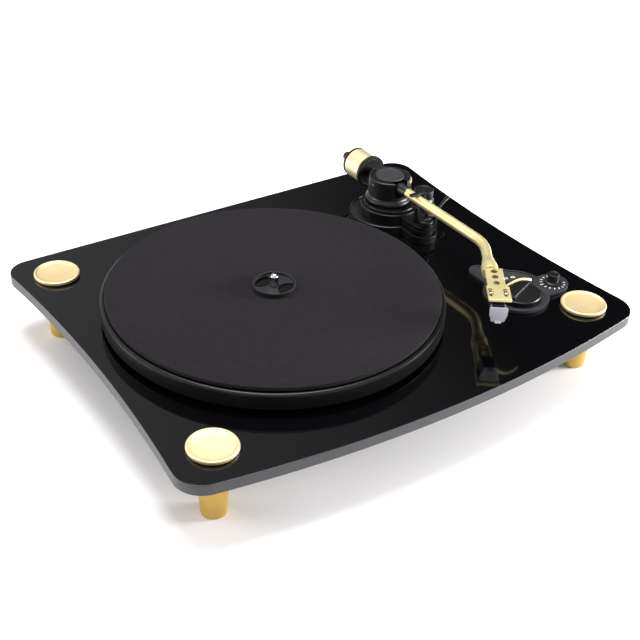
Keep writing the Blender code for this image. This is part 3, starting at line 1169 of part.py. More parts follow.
cartridge_screw = [
    (0, cartridge_top - EAR_DEPTH),
    (CARTRIDGE_SCREW_RADIUS, cartridge_top - EAR_DEPTH),
    (CARTRIDGE_SCREW_RADIUS, screw_seat),
    (CARTRIDGE_HEAD_RADIUS, screw_seat),
    (CARTRIDGE_HEAD_RADIUS, screw_seat + CARTRIDGE_HEAD_HEIGHT / 2),
    (0, screw_seat + CARTRIDGE_HEAD_HEIGHT),
]
for side_name, place in zip(("inner", "outer"), screw_places):
    screw = gathered([turned(cartridge_screw, SCREW_ROUND)], [place])
    piece("cartridge_screw_" + side_name, on_shell(screw), STEEL, parent=lift_axis)

# Stylus: a holder that plugs onto the cartridge's nose, with its cantilever and tip underneath
NOSE_HALF = 0.0050
NOSE_LENGTH = 0.0042
NOSE_DEPTH = 0.0125
KEEL_HALF = 0.0028
KEEL_BACK = 0.0360
KEEL_DEPTH = 0.0014
CANTILEVER_RADIUS = 0.0004
CANTILEVER_BACK = 0.0420
TIP_ALONG = 0.0493
TIP_LENGTH = 0.0010
TIP_ABOVE_MAT = 0.0007
nose_back = BODY_FRONT + SEAT_GAP
nose_front = nose_back + NOSE_LENGTH
keel_top = body_low - SEAT_GAP
keel_low = keel_top - KEEL_DEPTH
nose_low = keel_top - KEEL_DEPTH / 2
tip_low = MAT_TOP + TIP_ABOVE_MAT - ARM_HEIGHT
nose = block(2 * NOSE_HALF, NOSE_LENGTH, NOSE_DEPTH,
             (0, -(nose_back + nose_front) / 2, nose_low + NOSE_DEPTH / 2))
stylus = piece("stylus", on_shell(nose), SATIN_BLACK, parent=lift_axis)
keel_front = nose_front - NOSE_LENGTH / 2
keel = block(2 * KEEL_HALF, keel_front - KEEL_BACK, KEEL_DEPTH,
             (0, -(keel_front + KEEL_BACK) / 2, (keel_top + keel_low) / 2))
combine(stylus, tool("stylus_keel", on_shell(keel), parent=lift_axis), "UNION")
cantilever_start = Vector((0, -CANTILEVER_BACK, keel_low + CANTILEVER_RADIUS))
cantilever_end = Vector((0, -TIP_ALONG, tip_low + TIP_LENGTH))
cantilever_run = cantilever_end - cantilever_start
cantilever = laid_along(turned(disc(CANTILEVER_RADIUS, 0, cantilever_run.length + CANTILEVER_RADIUS),
                               SCREW_ROUND), cantilever_run, cantilever_start)
combine(stylus, tool("cantilever", on_shell(cantilever), parent=lift_axis), "UNION")
tip_top = tip_low + TIP_LENGTH
tip = turned([(0, tip_low), (CANTILEVER_RADIUS / 2, tip_top), (0, tip_top)], SCREW_ROUND)
bmesh.ops.translate(tip, vec=(0, -TIP_ALONG, 0), verts=tip.verts)
combine(stylus, tool("stylus_tip", on_shell(tip), parent=lift_axis), "UNION")

# Stylus guard: a clear shield on two arms that slides off the nose forwards
GUARD_TOP_HALF = 0.0080
GUARD_LOW_HALF = 0.0068
GUARD_WALL = 0.0012
GUARD_FACE = 0.0535
GUARD_TOP = -0.0016        # measured from the tube's axis
GUARD_WAIST = 0.0060
GUARD_ABOVE_MAT = 0.0014
TONGUE_HALF = 0.0026
TONGUE_REACH = 0.0034
GUARD_ARM_WIDTH = 0.0011
GUARD_ARM_DEPTH = 0.0050
guard_low = MAT_TOP + GUARD_ABOVE_MAT - ARM_HEIGHT
guard_outline = [(-GUARD_TOP_HALF, GUARD_TOP), (-GUARD_TOP_HALF, GUARD_TOP - GUARD_WAIST),
                 (-GUARD_LOW_HALF, guard_low), (GUARD_LOW_HALF, guard_low),
                 (GUARD_TOP_HALF, GUARD_TOP - GUARD_WAIST), (GUARD_TOP_HALF, GUARD_TOP)]
shield = slab(guard_outline, 0, GUARD_WALL)
shield_place = Matrix.Translation((0, -GUARD_FACE + GUARD_WALL, 0)) @ Matrix.Rotation(math.pi / 2, 4, "X")
bmesh.ops.transform(shield, verts=shield.verts, matrix=shield_place)
guard = piece("stylus_guard", on_shell(shield), GUARD_GREY, parent=lift_axis)
guard_arm_x = NOSE_HALF + SEAT_GAP + GUARD_ARM_WIDTH / 2
guard_arm_length = GUARD_FACE - GUARD_WALL / 2 - nose_back
for side, name in ((-1, "guard_arm_inner"), (1, "guard_arm_outer")):
    arm = block(GUARD_ARM_WIDTH, guard_arm_length, GUARD_ARM_DEPTH,
                (side * guard_arm_x, -nose_back - guard_arm_length / 2,
                 GUARD_TOP - GUARD_ARM_DEPTH / 2 - GUARD_WALL / 4))
    combine(guard, tool(name, on_shell(arm), parent=lift_axis), "UNION")
tongue = block(2 * TONGUE_HALF, TONGUE_REACH + GUARD_WALL / 2, GUARD_WALL,
               (0, -GUARD_FACE - (TONGUE_REACH - GUARD_WALL / 2) / 2, guard_low + GUARD_WALL))
combine(guard, tool("guard_tongue", on_shell(tongue), parent=lift_axis), "UNION")


# Control plate on the deck, with the speed selector and the pitch knob
PLATE_TOP = 0.0033
PLATE_EDGE = 0.0006
SELECTOR_RADIUS = 0.0195
SELECTOR_RECESS = 0.0235
SELECTOR_TOP = 0.0068
SELECTOR_LOW = 0.0020
RIDGE_HALF_LENGTH = 0.0165
RIDGE_HALF_WIDTH = 0.0026
RIDGE_TOP = 0.0100
RIDGE_TURN = math.radians(22.7)
PITCH_X = 0.0424
PITCH_Y = 0.0009
PITCH_RADIUS = 0.0055
PITCH_SKIRT_RADIUS = 0.0078
PITCH_SKIRT_HEIGHT = 0.0014
PITCH_TOP = 0.0120
CONTROL_SHAFT_RADIUS = 0.0030
CONTROL_SHAFT_LOW = -0.0115
# Circles that the plate's outline wraps: x and y from the selector knob, then the radius
PLATE_FRONT = (0, 0.0037, 0.0302)
PLATE_MIDDLE = (0.0077, 0.0132, 0.0280)
PLATE_BACK = (0.0087, 0.0182, 0.0225)
PLATE_TAIL_END = (-0.0031, 0.0512, 0.0100)
PLATE_SIDE_START = (0.0287, 0.0007, 0.0150)
PLATE_SIDE_END = (PITCH_X, PITCH_Y, 0.0142)
plate_place = (PLATE_X, PLATE_Y, DECK)
plate_main = hull_outline([PLATE_FRONT, PLATE_MIDDLE])
plate_tail = hull_outline([PLATE_BACK, PLATE_TAIL_END], SMALL_ROUND)
plate_side = hull_outline([PLATE_SIDE_START, PLATE_SIDE_END], SMALL_ROUND)
plate = piece("control_plate", slab(plate_main, SEAT_GAP, PLATE_TOP, PLATE_EDGE), MATT_BLACK, plate_place)
for name, outline in (("plate_tail", plate_tail), ("plate_side", plate_side)):
    combine(plate, tool(name, slab(outline, SEAT_GAP, PLATE_TOP, PLATE_EDGE), plate_place), "UNION")
combine(plate, tool("selector_recess", turned(disc(SELECTOR_RECESS, SELECTOR_LOW - SEAT_GAP,
                                                   PLATE_TOP + OVERRUN)), plate_place), "DIFFERENCE")

selector_axis = axis_point("selector_axis", plate_place)
selector_profile = [
    (0, CONTROL_SHAFT_LOW),
    (CONTROL_SHAFT_RADIUS, CONTROL_SHAFT_LOW),
    (CONTROL_SHAFT_RADIUS, SELECTOR_LOW),
    (SELECTOR_RADIUS, SELECTOR_LOW),
    (SELECTOR_RADIUS, SELECTOR_TOP - PLATE_EDGE),
    (SELECTOR_RADIUS - PLATE_EDGE, SELECTOR_TOP),
    (0, SELECTOR_TOP),
]
selector = piece("selector_knob", turned(selector_profile), SATIN_BLACK, parent=selector_axis)
ridge = block(2 * RIDGE_HALF_LENGTH, 2 * RIDGE_HALF_WIDTH, RIDGE_TOP - SELECTOR_LOW,
              (0, 0, (RIDGE_TOP + SELECTOR_LOW) / 2))
bmesh.ops.rotate(ridge, verts=ridge.verts, matrix=Matrix.Rotation(RIDGE_TURN, 3, "Z"))
combine(selector, tool("selector_ridge", ridge, parent=selector_axis), "UNION")

pitch_place = (PLATE_X + PITCH_X, PLATE_Y + PITCH_Y, DECK)
pitch_axis = axis_point("pitch_axis", pitch_place)
pitch_low = PLATE_TOP + SEAT_GAP
pitch_profile = [
    (0, CONTROL_SHAFT_LOW),
    (CONTROL_SHAFT_RADIUS, CONTROL_SHAFT_LOW),
    (CONTROL_SHAFT_RADIUS, pitch_low),
    (PITCH_SKIRT_RADIUS, pitch_low),
    (PITCH_SKIRT_RADIUS, pitch_low + PITCH_SKIRT_HEIGHT / 2),
    (PITCH_RADIUS, pitch_low + PITCH_SKIRT_HEIGHT),
    (PITCH_RADIUS, PITCH_TOP - PLATE_EDGE),
    (PITCH_RADIUS - PLATE_EDGE, PITCH_TOP),
    (0, PITCH_TOP),
]
piece("pitch_knob", turned(pitch_profile, SMALL_ROUND), SATIN_BLACK, parent=pitch_axis)
shaft_bore = CONTROL_SHAFT_RADIUS + SEAT_GAP
bore_plinth("control_shaft_holes", shaft_bore, [plate_place[:2], pitch_place[:2]], SMALL_ROUND)
for name, place in (("selector_shaft_bore", plate_place), ("pitch_shaft_bore", pitch_place)):
    combine(plate, tool(name, turned(disc(shaft_bore, -OVERRUN, PLATE_TOP + OVERRUN), SMALL_ROUND), place),
            "DIFFERENCE")

# Under the plate: the rotary switch and the pitch control, in a small cover with four pegs like the tray's
SWITCH_HALF = 0.0110
SWITCH_DEPTH = 0.0090
CONTROL_HALF = 0.0080
COVER_MARGIN = 0.0060
COVER_WALL = 0.0020
COVER_DEPTH = 0.0160
COVER_POCKET_CORNER = 0.0060
COVER_PEG_INSET = 0.0030
COVER_PEG_RADIUS = 0.0015
for name, place, half in (("selector_switch", plate_place, SWITCH_HALF),
                          ("pitch_control", pitch_place, CONTROL_HALF)):
    case = block(2 * half, 2 * half, SWITCH_DEPTH, (0, 0, under_plinth - SWITCH_DEPTH / 2))
    body = piece(name, case, ZINC, place)
    socket = turned(disc(shaft_bore, CONTROL_SHAFT_LOW - SEAT_GAP, OVERRUN), SMALL_ROUND)
    combine(body, tool(name + "_socket", socket, place), "DIFFERENCE")
cover_left = PLATE_X - SWITCH_HALF - COVER_MARGIN
cover_right = PLATE_X + PITCH_X + CONTROL_HALF + COVER_MARGIN
cover_front = PLATE_Y - SWITCH_HALF - COVER_MARGIN
cover_rear = PLATE_Y + SWITCH_HALF + COVER_MARGIN
cover_top = FOOT_HEIGHT - SEAT_GAP
cover_low = cover_top - COVER_DEPTH
cover = piece("control_cover", slab(cut_corner_outline(cover_left, cover_right, cover_front, cover_rear,
                                                       COVER_WALL), cover_low, cover_top), SATIN_BLACK)
cover_pocket = cut_corner_outline(cover_left + COVER_WALL, cover_right - COVER_WALL,
                                  cover_front + COVER_WALL, cover_rear - COVER_WALL, COVER_POCKET_CORNER)
combine(cover, tool("cover_pocket", slab(cover_pocket, cover_low + COVER_WALL, cover_top + OVERRUN)),
        "DIFFERENCE")
cover_peg_places = [(x, y, 0) for x in (cover_left + COVER_PEG_INSET, cover_right - COVER_PEG_INSET)
                    for y in (cover_front + COVER_PEG_INSET, cover_rear - COVER_PEG_INSET)]
cover_pegs = [turned(disc(COVER_PEG_RADIUS, cover_top - PEG_REACH, peg_top), SCREW_ROUND)
              for _ in cover_peg_places]
combine(cover, tool("cover_pegs", gathered(cover_pegs, cover_peg_places)), "UNION")
bore_plinth("cover_peg_holes", COVER_PEG_RADIUS + SEAT_GAP, [(x, y) for x, y, _ in cover_peg_places],
            SCREW_ROUND, high=peg_top + SEAT_GAP)
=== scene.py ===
import math

import bpy
from mathutils import Matrix, Vector


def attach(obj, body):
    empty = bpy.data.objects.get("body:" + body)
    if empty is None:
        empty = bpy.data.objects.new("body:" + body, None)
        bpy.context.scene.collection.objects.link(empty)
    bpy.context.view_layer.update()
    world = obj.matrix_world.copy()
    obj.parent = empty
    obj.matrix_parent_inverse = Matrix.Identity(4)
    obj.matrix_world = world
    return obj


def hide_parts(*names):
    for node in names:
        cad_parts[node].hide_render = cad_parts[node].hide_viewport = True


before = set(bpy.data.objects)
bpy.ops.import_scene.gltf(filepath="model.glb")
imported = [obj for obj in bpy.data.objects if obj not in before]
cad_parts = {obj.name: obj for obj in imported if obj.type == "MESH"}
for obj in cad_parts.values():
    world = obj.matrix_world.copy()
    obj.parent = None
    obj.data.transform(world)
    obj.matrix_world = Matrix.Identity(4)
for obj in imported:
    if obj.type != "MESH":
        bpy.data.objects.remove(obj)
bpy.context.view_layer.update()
bpy.ops.object.select_all(action="DESELECT")

# Lengths are in metres unless a name says mm, and Z is up.


# ---------------------------------------------------------------- Stage
# A plain white sweep under a large overhead softbox, as in a catalogue photo. The backdrop that the
# lacquer mirrors is dimmer to the right, and two low cards light the plinth's routed edges.
def linear(hex_colour):
    """The linear colour of an sRGB hex colour."""
    parts = [int(hex_colour[place:place + 2], 16) / 255 for place in (1, 3, 5)]
    return [part / 12.92 if part <= 0.04045 else ((part + 0.055) / 1.055) ** 2.4 for part in parts] + [1]


def add_node(tree, kind, sockets=None, **settings):
    """A node with its settings, and its inputs set to a value or joined to another node's output."""
    node = tree.nodes.new("ShaderNode" + kind)
    for name, value in settings.items():
        setattr(node, name, value)
    for name, value in (sockets or {}).items():
        if isinstance(value, bpy.types.NodeSocket):
            tree.links.new(value, node.inputs[name])
        else:
            node.inputs[name].default_value = value
    return node


def new_material(name, colour, roughness, metallic=0.0, plain=None):
    """A material of plain values, plain holding those that only some materials set."""
    material = bpy.data.materials.new(name)
    material.use_nodes = True
    inputs = material.node_tree.nodes["Principled BSDF"].inputs
    values = {"Base Color": linear(colour), "Roughness": roughness, "Metallic": metallic, **(plain or {})}
    for socket, value in values.items():
        inputs[socket].default_value = value
    return material


scene = bpy.context.scene
scene.view_settings.view_transform = "Standard"

camera_data = bpy.data.cameras.new("camera")
camera_data.sensor_width = 36
camera_data.lens = 65.2
camera_data.clip_start = 0.01
camera = bpy.data.objects.new("camera", camera_data)
scene.collection.objects.link(camera)
# Solved from the circles of the platter and the corners of the plinth in the photograph
camera.matrix_world = Matrix((
    (0.82882639, 0.28306542, -0.48261867, -0.512874),
    (-0.55824954, 0.4761509, -0.67943931, -0.718325),
    (0.03747354, 0.83255888, 0.55266757, 0.619449),
    (0, 0, 0, 1),
))
scene.camera = camera

bpy.ops.mesh.primitive_plane_add(size=9, location=(1.2, 1.6, 0))
floor = bpy.context.object
floor.name = "floor"
floor.data.materials.append(new_material("white_paper", "#f6f4f3", 0.85))

world = bpy.data.worlds.new("studio")
world.use_nodes = True
scene.world = world
sky = world.node_tree
# The room is bright on the left and falls dark to the right, and the lacquer mirrors that
RIGHTWARD = (0.96, 0.28, 0)
away = add_node(sky, "VectorMath", {0: add_node(sky, "TexCoord").outputs["Generated"], 1: RIGHTWARD},
                operation="DOT_PRODUCT")
darkening = add_node(sky, "ValToRGB", {"Fac": away.outputs["Value"]})
ramp = darkening.color_ramp.elements
for place, brightness in ((0.10, 0.85), (0.44, 0.52), (0.60, 0.30), (0.74, 0.03)):
    stop = ramp.new(place)
    stop.color = (brightness, brightness, brightness * 1.04, 1)
ramp.remove(ramp[-1])
ramp.remove(ramp[0])
sky.links.new(darkening.outputs["Color"], sky.nodes["Background"].inputs["Color"])
sky.nodes["Background"].inputs["Strength"].default_value = 1.0


def softbox(name, place, aim, width, height, power):
    """A rectangular light at a place, turned to face the point it is aimed at."""
    data = bpy.data.lights.new(name, "AREA")
    data.shape = "RECTANGLE"
    data.size = width
    data.size_y = height
    data.energy = power
    lamp = bpy.data.objects.new(name, data)
    lamp.location = place
    lamp.rotation_euler = (Vector(aim) - Vector(place)).to_track_quat("-Z", "Y").to_euler()
    scene.collection.objects.link(lamp)


softbox("overhead_softbox", (0.08, 0.26, 1.7), (0, 0, 0), 1.1, 0.9, 38)
softbox("right_card", (1.05, -0.62, 0.26), (0.22, -0.16, 0.05), 0.5, 0.3, 32)
softbox("left_card", (-1.05, 0.55, 0.26), (-0.2, 0.10, 0.05), 0.7, 0.35, 8)


# ---------------------------------------------------------------- Plinth
# One slab of board, profiled on a router and sprayed with gloss black lacquer, then polished on its
# faces. Its edge is only satin, so it catches the light that the mirror-like top throws away.
PLINTH_LOW = 0.052
DECK = 0.062        # the plinth's top face, from which the profiles above it are measured up
HALF_DEPTH = 0.1885
SIDE_WAIST = 0.2197
SIDE_WAIST_Y = 0.0245
SIDE_ARC = 1.42
FRONT_ARC = 1.196
CORNER = 0.023
PLINTH_EDGE = 0.0005
SIDE_STEPS = 40


def noise(material, size_mm, low, high, detail, stretch=(1, 1, 1)):
    """A soft random pattern, size_mm from one blotch to the next, running between low and high."""
    tree = material.node_tree
    mapping = add_node(tree, "Mapping", {"Vector": add_node(tree, "TexCoord").outputs["Object"],
                                         "Scale": stretch})
    blotches = add_node(tree, "TexNoise", {"Vector": mapping.outputs["Vector"], "Scale": 1000 / size_mm,
                                           "Detail": detail})
    return add_node(tree, "MapRange", {"Value": blotches.outputs["Fac"], "From Min": 0.30,
                                       "From Max": 0.70, "To Min": low, "To Max": high}).outputs["Result"]


def join(material, output, socket):
    """Feed a pattern to one of the shader's inputs."""
    tree = material.node_tree
    tree.links.new(output, tree.nodes["Principled BSDF"].inputs[socket])


def mottled(name, colour, gloss, metallic=0.0, grain=None, tint=None, plain=None):
    """A material with patterns of a real size. Gloss is one roughness, or (mm, least, greatest, detail,
    stretch). Grain is (mm, depth in mm, detail), and tint (mm, detail, one colour, the other)."""
    patchy = isinstance(gloss, tuple)
    material = new_material(name, colour, (gloss[1] + gloss[2]) / 2 if patchy else gloss, metallic, plain)
    if patchy:
        join(material, noise(material, *gloss), "Roughness")
    if grain is not None:
        size_mm, depth_mm, detail = grain
        bump = add_node(material.node_tree, "Bump", {"Height": noise(material, size_mm, 0, 1, detail),
                                                     "Distance": depth_mm / 1000})
        join(material, bump.outputs["Normal"], "Normal")
    if tint is not None:
        size_mm, detail, one, other = tint
        mix = add_node(material.node_tree, "Mix", {"Factor": noise(material, size_mm, 0, 1, detail),
                                                   6: linear(one), 7: linear(other)}, data_type="RGBA")
        join(material, mix.outputs[2], "Base Color")
    return material


# Lacquer: an almost perfect mirror, with the faint ripple that sprayed paint keeps and a little dust
lacquer = mottled("gloss_black_lacquer", "#030304", (0.9, 0.045, 0.085, 4), grain=(7, 0.003, 1))

# Routed edge: the same paint, rubbed down to a satin that scatters light along the edge
edge_paint = mottled("satin_lacquered_edge", "#1b1b22", (1.6, 0.36, 0.48, 3, (1, 1, 3)),
                     plain={"Specular IOR Level": 0.65})


def select_only(item):
    bpy.ops.object.select_all(action="DESELECT")
    item.select_set(True)
    bpy.context.view_layer.objects.active = item


def edit(item):
    """Open one object in edit mode with all of its mesh selected."""
    select_only(item)
    bpy.ops.object.mode_set(mode="EDIT")
    bpy.ops.mesh.select_mode(type="VERT")
    bpy.ops.mesh.select_all(action="SELECT")


def point_object(name):
    """A plane merged to one point at the origin, left open in edit mode, to draw an outline from."""
    bpy.ops.mesh.primitive_plane_add(size=0.01, location=(0, 0, 0))
    made = bpy.context.object
    made.name = name
    edit(made)
    bpy.ops.mesh.merge(type="CENTER")
    return made


def extrude_to(step):
    bpy.ops.mesh.extrude_region_move(TRANSFORM_OT_translate={"value": step})


def flat_outline(name, points):
    """A filled flat outline drawn from point to point, left open in edit mode."""
    made = point_object(name)
    bpy.ops.transform.translate(value=points[0])
    for before, after in zip(points, points[1:]):
        extrude_to(Vector(after) - Vector(before))
    bpy.ops.mesh.select_all(action="SELECT")
    bpy.ops.mesh.edge_face_add()
    return made


def round_edges(item, width, segments=3, angle=30):
    """Round the sharp edges by a width in metres."""
    select_only(item)
    step = item.modifiers.new("rounding", "BEVEL")
    step.width = width
    step.segments = segments
    step.limit_method = "ANGLE"
    step.angle_limit = math.radians(angle)
    bpy.ops.object.modifier_apply(modifier=step.name)


def combined(item, other, operation="DIFFERENCE"):
    """Cut the other shape from the piece or join it on, then drop the other shape."""
    select_only(item)
    step = item.modifiers.new("shape", "BOOLEAN")
    step.operation = operation
    step.solver = "EXACT"
    step.object = other
    bpy.ops.object.modifier_apply(modifier=step.name)
    bpy.data.objects.remove(other)


def finished(item, material, body, slot_name, *nodes, sharp=32):
    """Bring a piece's origin home, paint it, smooth its curves but not its flats, and fix it to its
    body in place of CAD nodes."""
    select_only(item)
    bpy.ops.object.transform_apply(location=True, rotation=True, scale=True)
    if material is not None:
        item.data.materials.clear()
        item.data.materials.append(material)
    bpy.ops.object.shade_smooth_by_angle(angle=math.radians(sharp))
    step = item.modifiers.new("flat_faces", "WEIGHTED_NORMAL")
    step.keep_sharp = True
    bpy.ops.object.modifier_apply(modifier=step.name)
    if nodes:
        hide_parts(*nodes)
    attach(item, body)
    return item


def side_half_width(y):
    return SIDE_WAIST + (y - SIDE_WAIST_Y) ** 2 / (2 * SIDE_ARC)


def front_edge(x):
    return -HALF_DEPTH + x ** 2 / (2 * FRONT_ARC)


# The front arc and the side arc cross at the corner, which going from one to the other closes in on
corner_y = -HALF_DEPTH
for _ in range(8):
    corner_y = front_edge(side_half_width(corner_y))
corner_x = side_half_width(corner_y)


def between(first, last):
    """Even steps along a side, kept clear of the corners that will be rounded."""
    return [first + (last - first) * step / SIDE_STEPS for step in range(SIDE_STEPS + 1)]


clear = CORNER + PLINTH_EDGE
outline = [(-corner_x, corner_y)]
outline += [(x, front_edge(x)) for x in between(clear - corner_x, corner_x - clear)]
outline.append((corner_x, corner_y))
outline += [(side_half_width(y), y) for y in between(corner_y + clear, HALF_DEPTH - clear)]
outline.append((side_half_width(HALF_DEPTH), HALF_DEPTH))
outline.append((-side_half_width(HALF_DEPTH), HALF_DEPTH))
outline += [(-side_half_width(y), y) for y in between(HALF_DEPTH - clear, corner_y + clear)]
rear_x = side_half_width(HALF_DEPTH)
corners = [(-corner_x, corner_y), (corner_x, corner_y), (rear_x, HALF_DEPTH), (-rear_x, HALF_DEPTH)]


def pick(item, test, mode="VERT"):
    """Open an object in edit mode with only the points or faces selected that pass the test."""
    select_only(item)
    bpy.ops.object.mode_set(mode="EDIT")
    bpy.ops.mesh.select_mode(type=mode)
    bpy.ops.mesh.select_all(action="DESELECT")
    bpy.ops.object.mode_set(mode="OBJECT")
    for part in (item.data.vertices if mode == "VERT" else item.data.polygons):
        part.select = test(part)
    bpy.ops.object.mode_set(mode="EDIT")


def closed(item):
    """Leave edit mode with the mesh welded and its faces turned outward."""
    bpy.ops.mesh.select_mode(type="VERT")
    bpy.ops.mesh.select_all(action="SELECT")
    bpy.ops.mesh.remove_doubles(threshold=0.000004)
    bpy.ops.mesh.normals_make_consistent(inside=False)
    bpy.ops.object.mode_set(mode="OBJECT")
    return item


def pegs(name, rounds, steps):
    """Upright cylinders in one mesh, each (x, y, radius, low, high), left open in edit mode."""
    for number, (x, y, radius, low, high) in enumerate(rounds):
        bpy.ops.mesh.primitive_cylinder_add(vertices=steps, radius=radius, depth=high - low,
                                            location=(x, y, (low + high) / 2))
        if number == 0:
            made = bpy.context.object
            made.name = name
            bpy.ops.object.transform_apply(location=True)
            edit(made)
    return made


def drilled(item, holes, steps=48):
    """Bore upright round holes, each (x, y, radius, low, high)."""
    combined(item, closed(pegs("drill", holes, steps)))


plinth = flat_outline("plinth_slab", [(x, y, PLINTH_LOW) for x, y in outline])
bpy.ops.object.mode_set(mode="OBJECT")
pick(plinth, lambda point: any((point.co.xy - Vector(corner)).length < PLINTH_EDGE for corner in corners))
bpy.ops.mesh.bevel(offset=CORNER, offset_type="OFFSET", segments=14, profile=0.5, affect="VERTICES")
bpy.ops.mesh.select_all(action="SELECT")
extrude_to((0, 0, DECK - PLINTH_LOW))
closed(plinth)
plinth.data.materials.append(lacquer)
plinth.data.materials.append(edge_paint)
for face in plinth.data.polygons:
    face.material_index = 0 if abs(face.normal.z) > 0.5 else 1
round_edges(plinth, PLINTH_EDGE)

FOOT_PLACES = {"front_left": (-0.1909, -0.1352), "front_right": (0.1909, -0.1352),
               "rear_left": (-0.1909, 0.1504), "rear_right": (0.1909, 0.1504)}
PLATTER_PLACE = (-0.0512, 0.0026)
MOTOR_PLACE = (-0.10397, 0.07796)
ARM_PLACE = (0.1379, 0.0896)
SELECTOR_PLACE = (0.1493, -0.0952)
PITCH_PLACE = (0.1917, -0.0943)
STUD_BORE = 0.0043
BEARING_BORE = 0.0089
MOTOR_BORE = 0.0053
ARM_BORE = 0.0073
KNOB_BORE = 0.0033
plinth_bores = [(x, y, STUD_BORE) for x, y in FOOT_PLACES.values()]
plinth_bores += [(*PLATTER_PLACE, BEARING_BORE), (*MOTOR_PLACE, MOTOR_BORE), (*ARM_PLACE, ARM_BORE),
                 (*SELECTOR_PLACE, KNOB_BORE), (*PITCH_PLACE, KNOB_BORE)]
drilled(plinth, [(*bore, PLINTH_LOW - 0.003, DECK + 0.003) for bore in plinth_bores])
finished(plinth, None, "deck", "gloss_black", "plinth")


# ---------------------------------------------------------------- Feet and foot discs
# Turned aluminium cones, bead-blasted and anodised champagne gold. Each hangs on the stud of a dished
# disc on top of the plinth, so disc, board and foot are drawn together like a rivet.
def gold_finish(name, light, deep):
    """Blasted and anodised aluminium: a fine even grain under a thin dyed film, which spreads each
    highlight and lets the colour drift a little from one place to the next."""
    return mottled(name, light, (0.45, 0.41, 0.53, 3), metallic=0.82, grain=(0.35, 0.010, 2),
                   tint=(14, 3, light, deep))


def spun(name, profile, steps=96):
    """A lathe-turned shape about Z from (radius, height) points in metres, from the foot upward."""
    made = point_object(name)
    bpy.ops.transform.translate(value=(profile[0][0], 0, profile[0][1]))
    line = list(profile) + ([profile[0]] if profile[0][0] > 0 else [])
    for before, after in zip(line, line[1:]):
        extrude_to((after[0] - before[0], 0, after[1] - before[1]))
    bpy.ops.mesh.select_all(action="SELECT")
    bpy.ops.mesh.spin(steps=steps, angle=math.tau, center=(0, 0, 0), axis=(0, 0, 1))
    return closed(made)


def placed(item, place, turn=(0, 0, 0)):
    item.rotation_euler = turn
    item.location = place
    return item


def copied(item, name):
    """A copy with its own mesh, for the same casting or screw used again."""
    select_only(item)
    bpy.ops.object.duplicate(linked=False)
    bpy.context.object.name = name
    return bpy.context.object


disc_gold = gold_finish("gold_anodised_satin_disc", "#e8d4a4", "#e2cb96")
# The feet take the discs' gold painted darker and deeper, as painted shade under the plinth
foot_gold_painted_shade = gold_finish("gold_anodised_satin_foot_painted_shade", "#c9aa5e", "#c2a154")

foot_model = spun("foot_model", [(0, 0), (0.0105, 0), (0.0140, 0.0517), (0.0043, 0.0517), (0.0043, 0.0217),
                                 (0, 0.0217)], 72)
round_edges(foot_model, 0.0009, segments=4)
disc_model = spun("disc_model", [(0, -0.0400), (0.0040, -0.0400), (0.0040, 0.0003), (0.0196, 0.0003),
                                 (0.0205, 0.0012), (0.0205, 0.0032), (0.0199, 0.0039), (0.0191, 0.0041),
                                 (0.0184, 0.0039), (0.0179, 0.0034), (0.0174, 0.0031), (0.0150, 0.0029),
                                 (0.0110, 0.00275), (0.0060, 0.00265), (0, 0.0026)])
round_edges(disc_model, 0.0003, segments=2)
for corner, (x, y) in FOOT_PLACES.items():
    foot = placed(copied(foot_model, "foot_cone_" + corner), (x, y, 0))
    finished(foot, foot_gold_painted_shade, "deck", "gold", "foot_" + corner)
    disc = placed(copied(disc_model, "foot_dish_" + corner), (x, y, DECK))
    finished(disc, disc_gold, "deck", "gold", "foot_disc_" + corner)
bpy.data.objects.remove(foot_model)
bpy.data.objects.remove(disc_model)


# ---------------------------------------------------------------- Bearing, spindle and sub-platter
# A zinc sleeve pressed through the plinth holds a bronze bush and a nylon thrust pad. The polished
# steel spindle stands on the pad and carries the moulded sub-platter that the belt drives.
def carried(node, material):
    """Give a CAD node that stays in view a finer finish."""
    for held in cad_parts[node].material_slots:
        held.material = material


# Zinc plate: a cloudy grey, patchy in gloss
zinc = mottled("zinc_plated_steel", "#b4b7bb", (3, 0.30, 0.50, 5), metallic=1.0,
               tint=(6, 4, "#aeb1b5", "#c3c3bf"))
# Sintered bronze: oily pores that dull it grain by grain
bronze = mottled("bronze_sintered", "#a47444", (0.4, 0.38, 0.58, 2), metallic=1.0)
# Polished steel: a near mirror, with faint rings left by the lathe
steel = mottled("steel_polished", "#c6c6c8", (2, 0.10, 0.18, 3, (1, 1, 6)), metallic=1.0)
# Ivory nylon: waxy, and slightly soft at its edges where light enters
ivory = mottled("ivory_moulded_plastic", "#e4e2d8", (0.8, 0.40, 0.52, 2), plain={"Subsurface Weight": 0.05})

carried("bearing_housing", zinc)
carried("bearing_bush", bronze)
carried("thrust_pad", ivory)

SPINDLE_RADIUS = 0.0036
on_platter = (*PLATTER_PLACE, DECK)
dome = [(SPINDLE_RADIUS * math.cos(math.radians(angle)), 0.0332 + 0.0030 * math.sin(math.radians(angle)))
        for angle in range(0, 90, 10)]
spindle = spun("spindle_rod", [(0, -0.0314), (0.0033, -0.0314), (SPINDLE_RADIUS, -0.0311)] + dome
               + [(0, 0.0362)], 64)
finished(placed(spindle, on_platter), steel, "platter_body", "steel", "spindle")

sub_platter = spun("sub_platter_disc", [(0.0039, 0.0022), (0.0110, 0.0022), (0.0110, 0.0095),
                                        (0.0585, 0.0095), (0.0585, 0.0030), (0.0620, 0.0030),
                                        (0.0620, 0.0137), (0.0039, 0.0137)], 128)
round_edges(sub_platter, 0.0004, segments=2)
finished(placed(sub_platter, on_platter), ivory, "platter_body", "ivory", "sub_platter")


# ---------------------------------------------------------------- Platter
# A heavy cast aluminium dish, turned on its rim and sprayed satin black. The rim is left as a raised
# lip round the mat, and its rounded edge draws the thin grey highlight round the platter.
PLATTER_RADIUS = 0.150

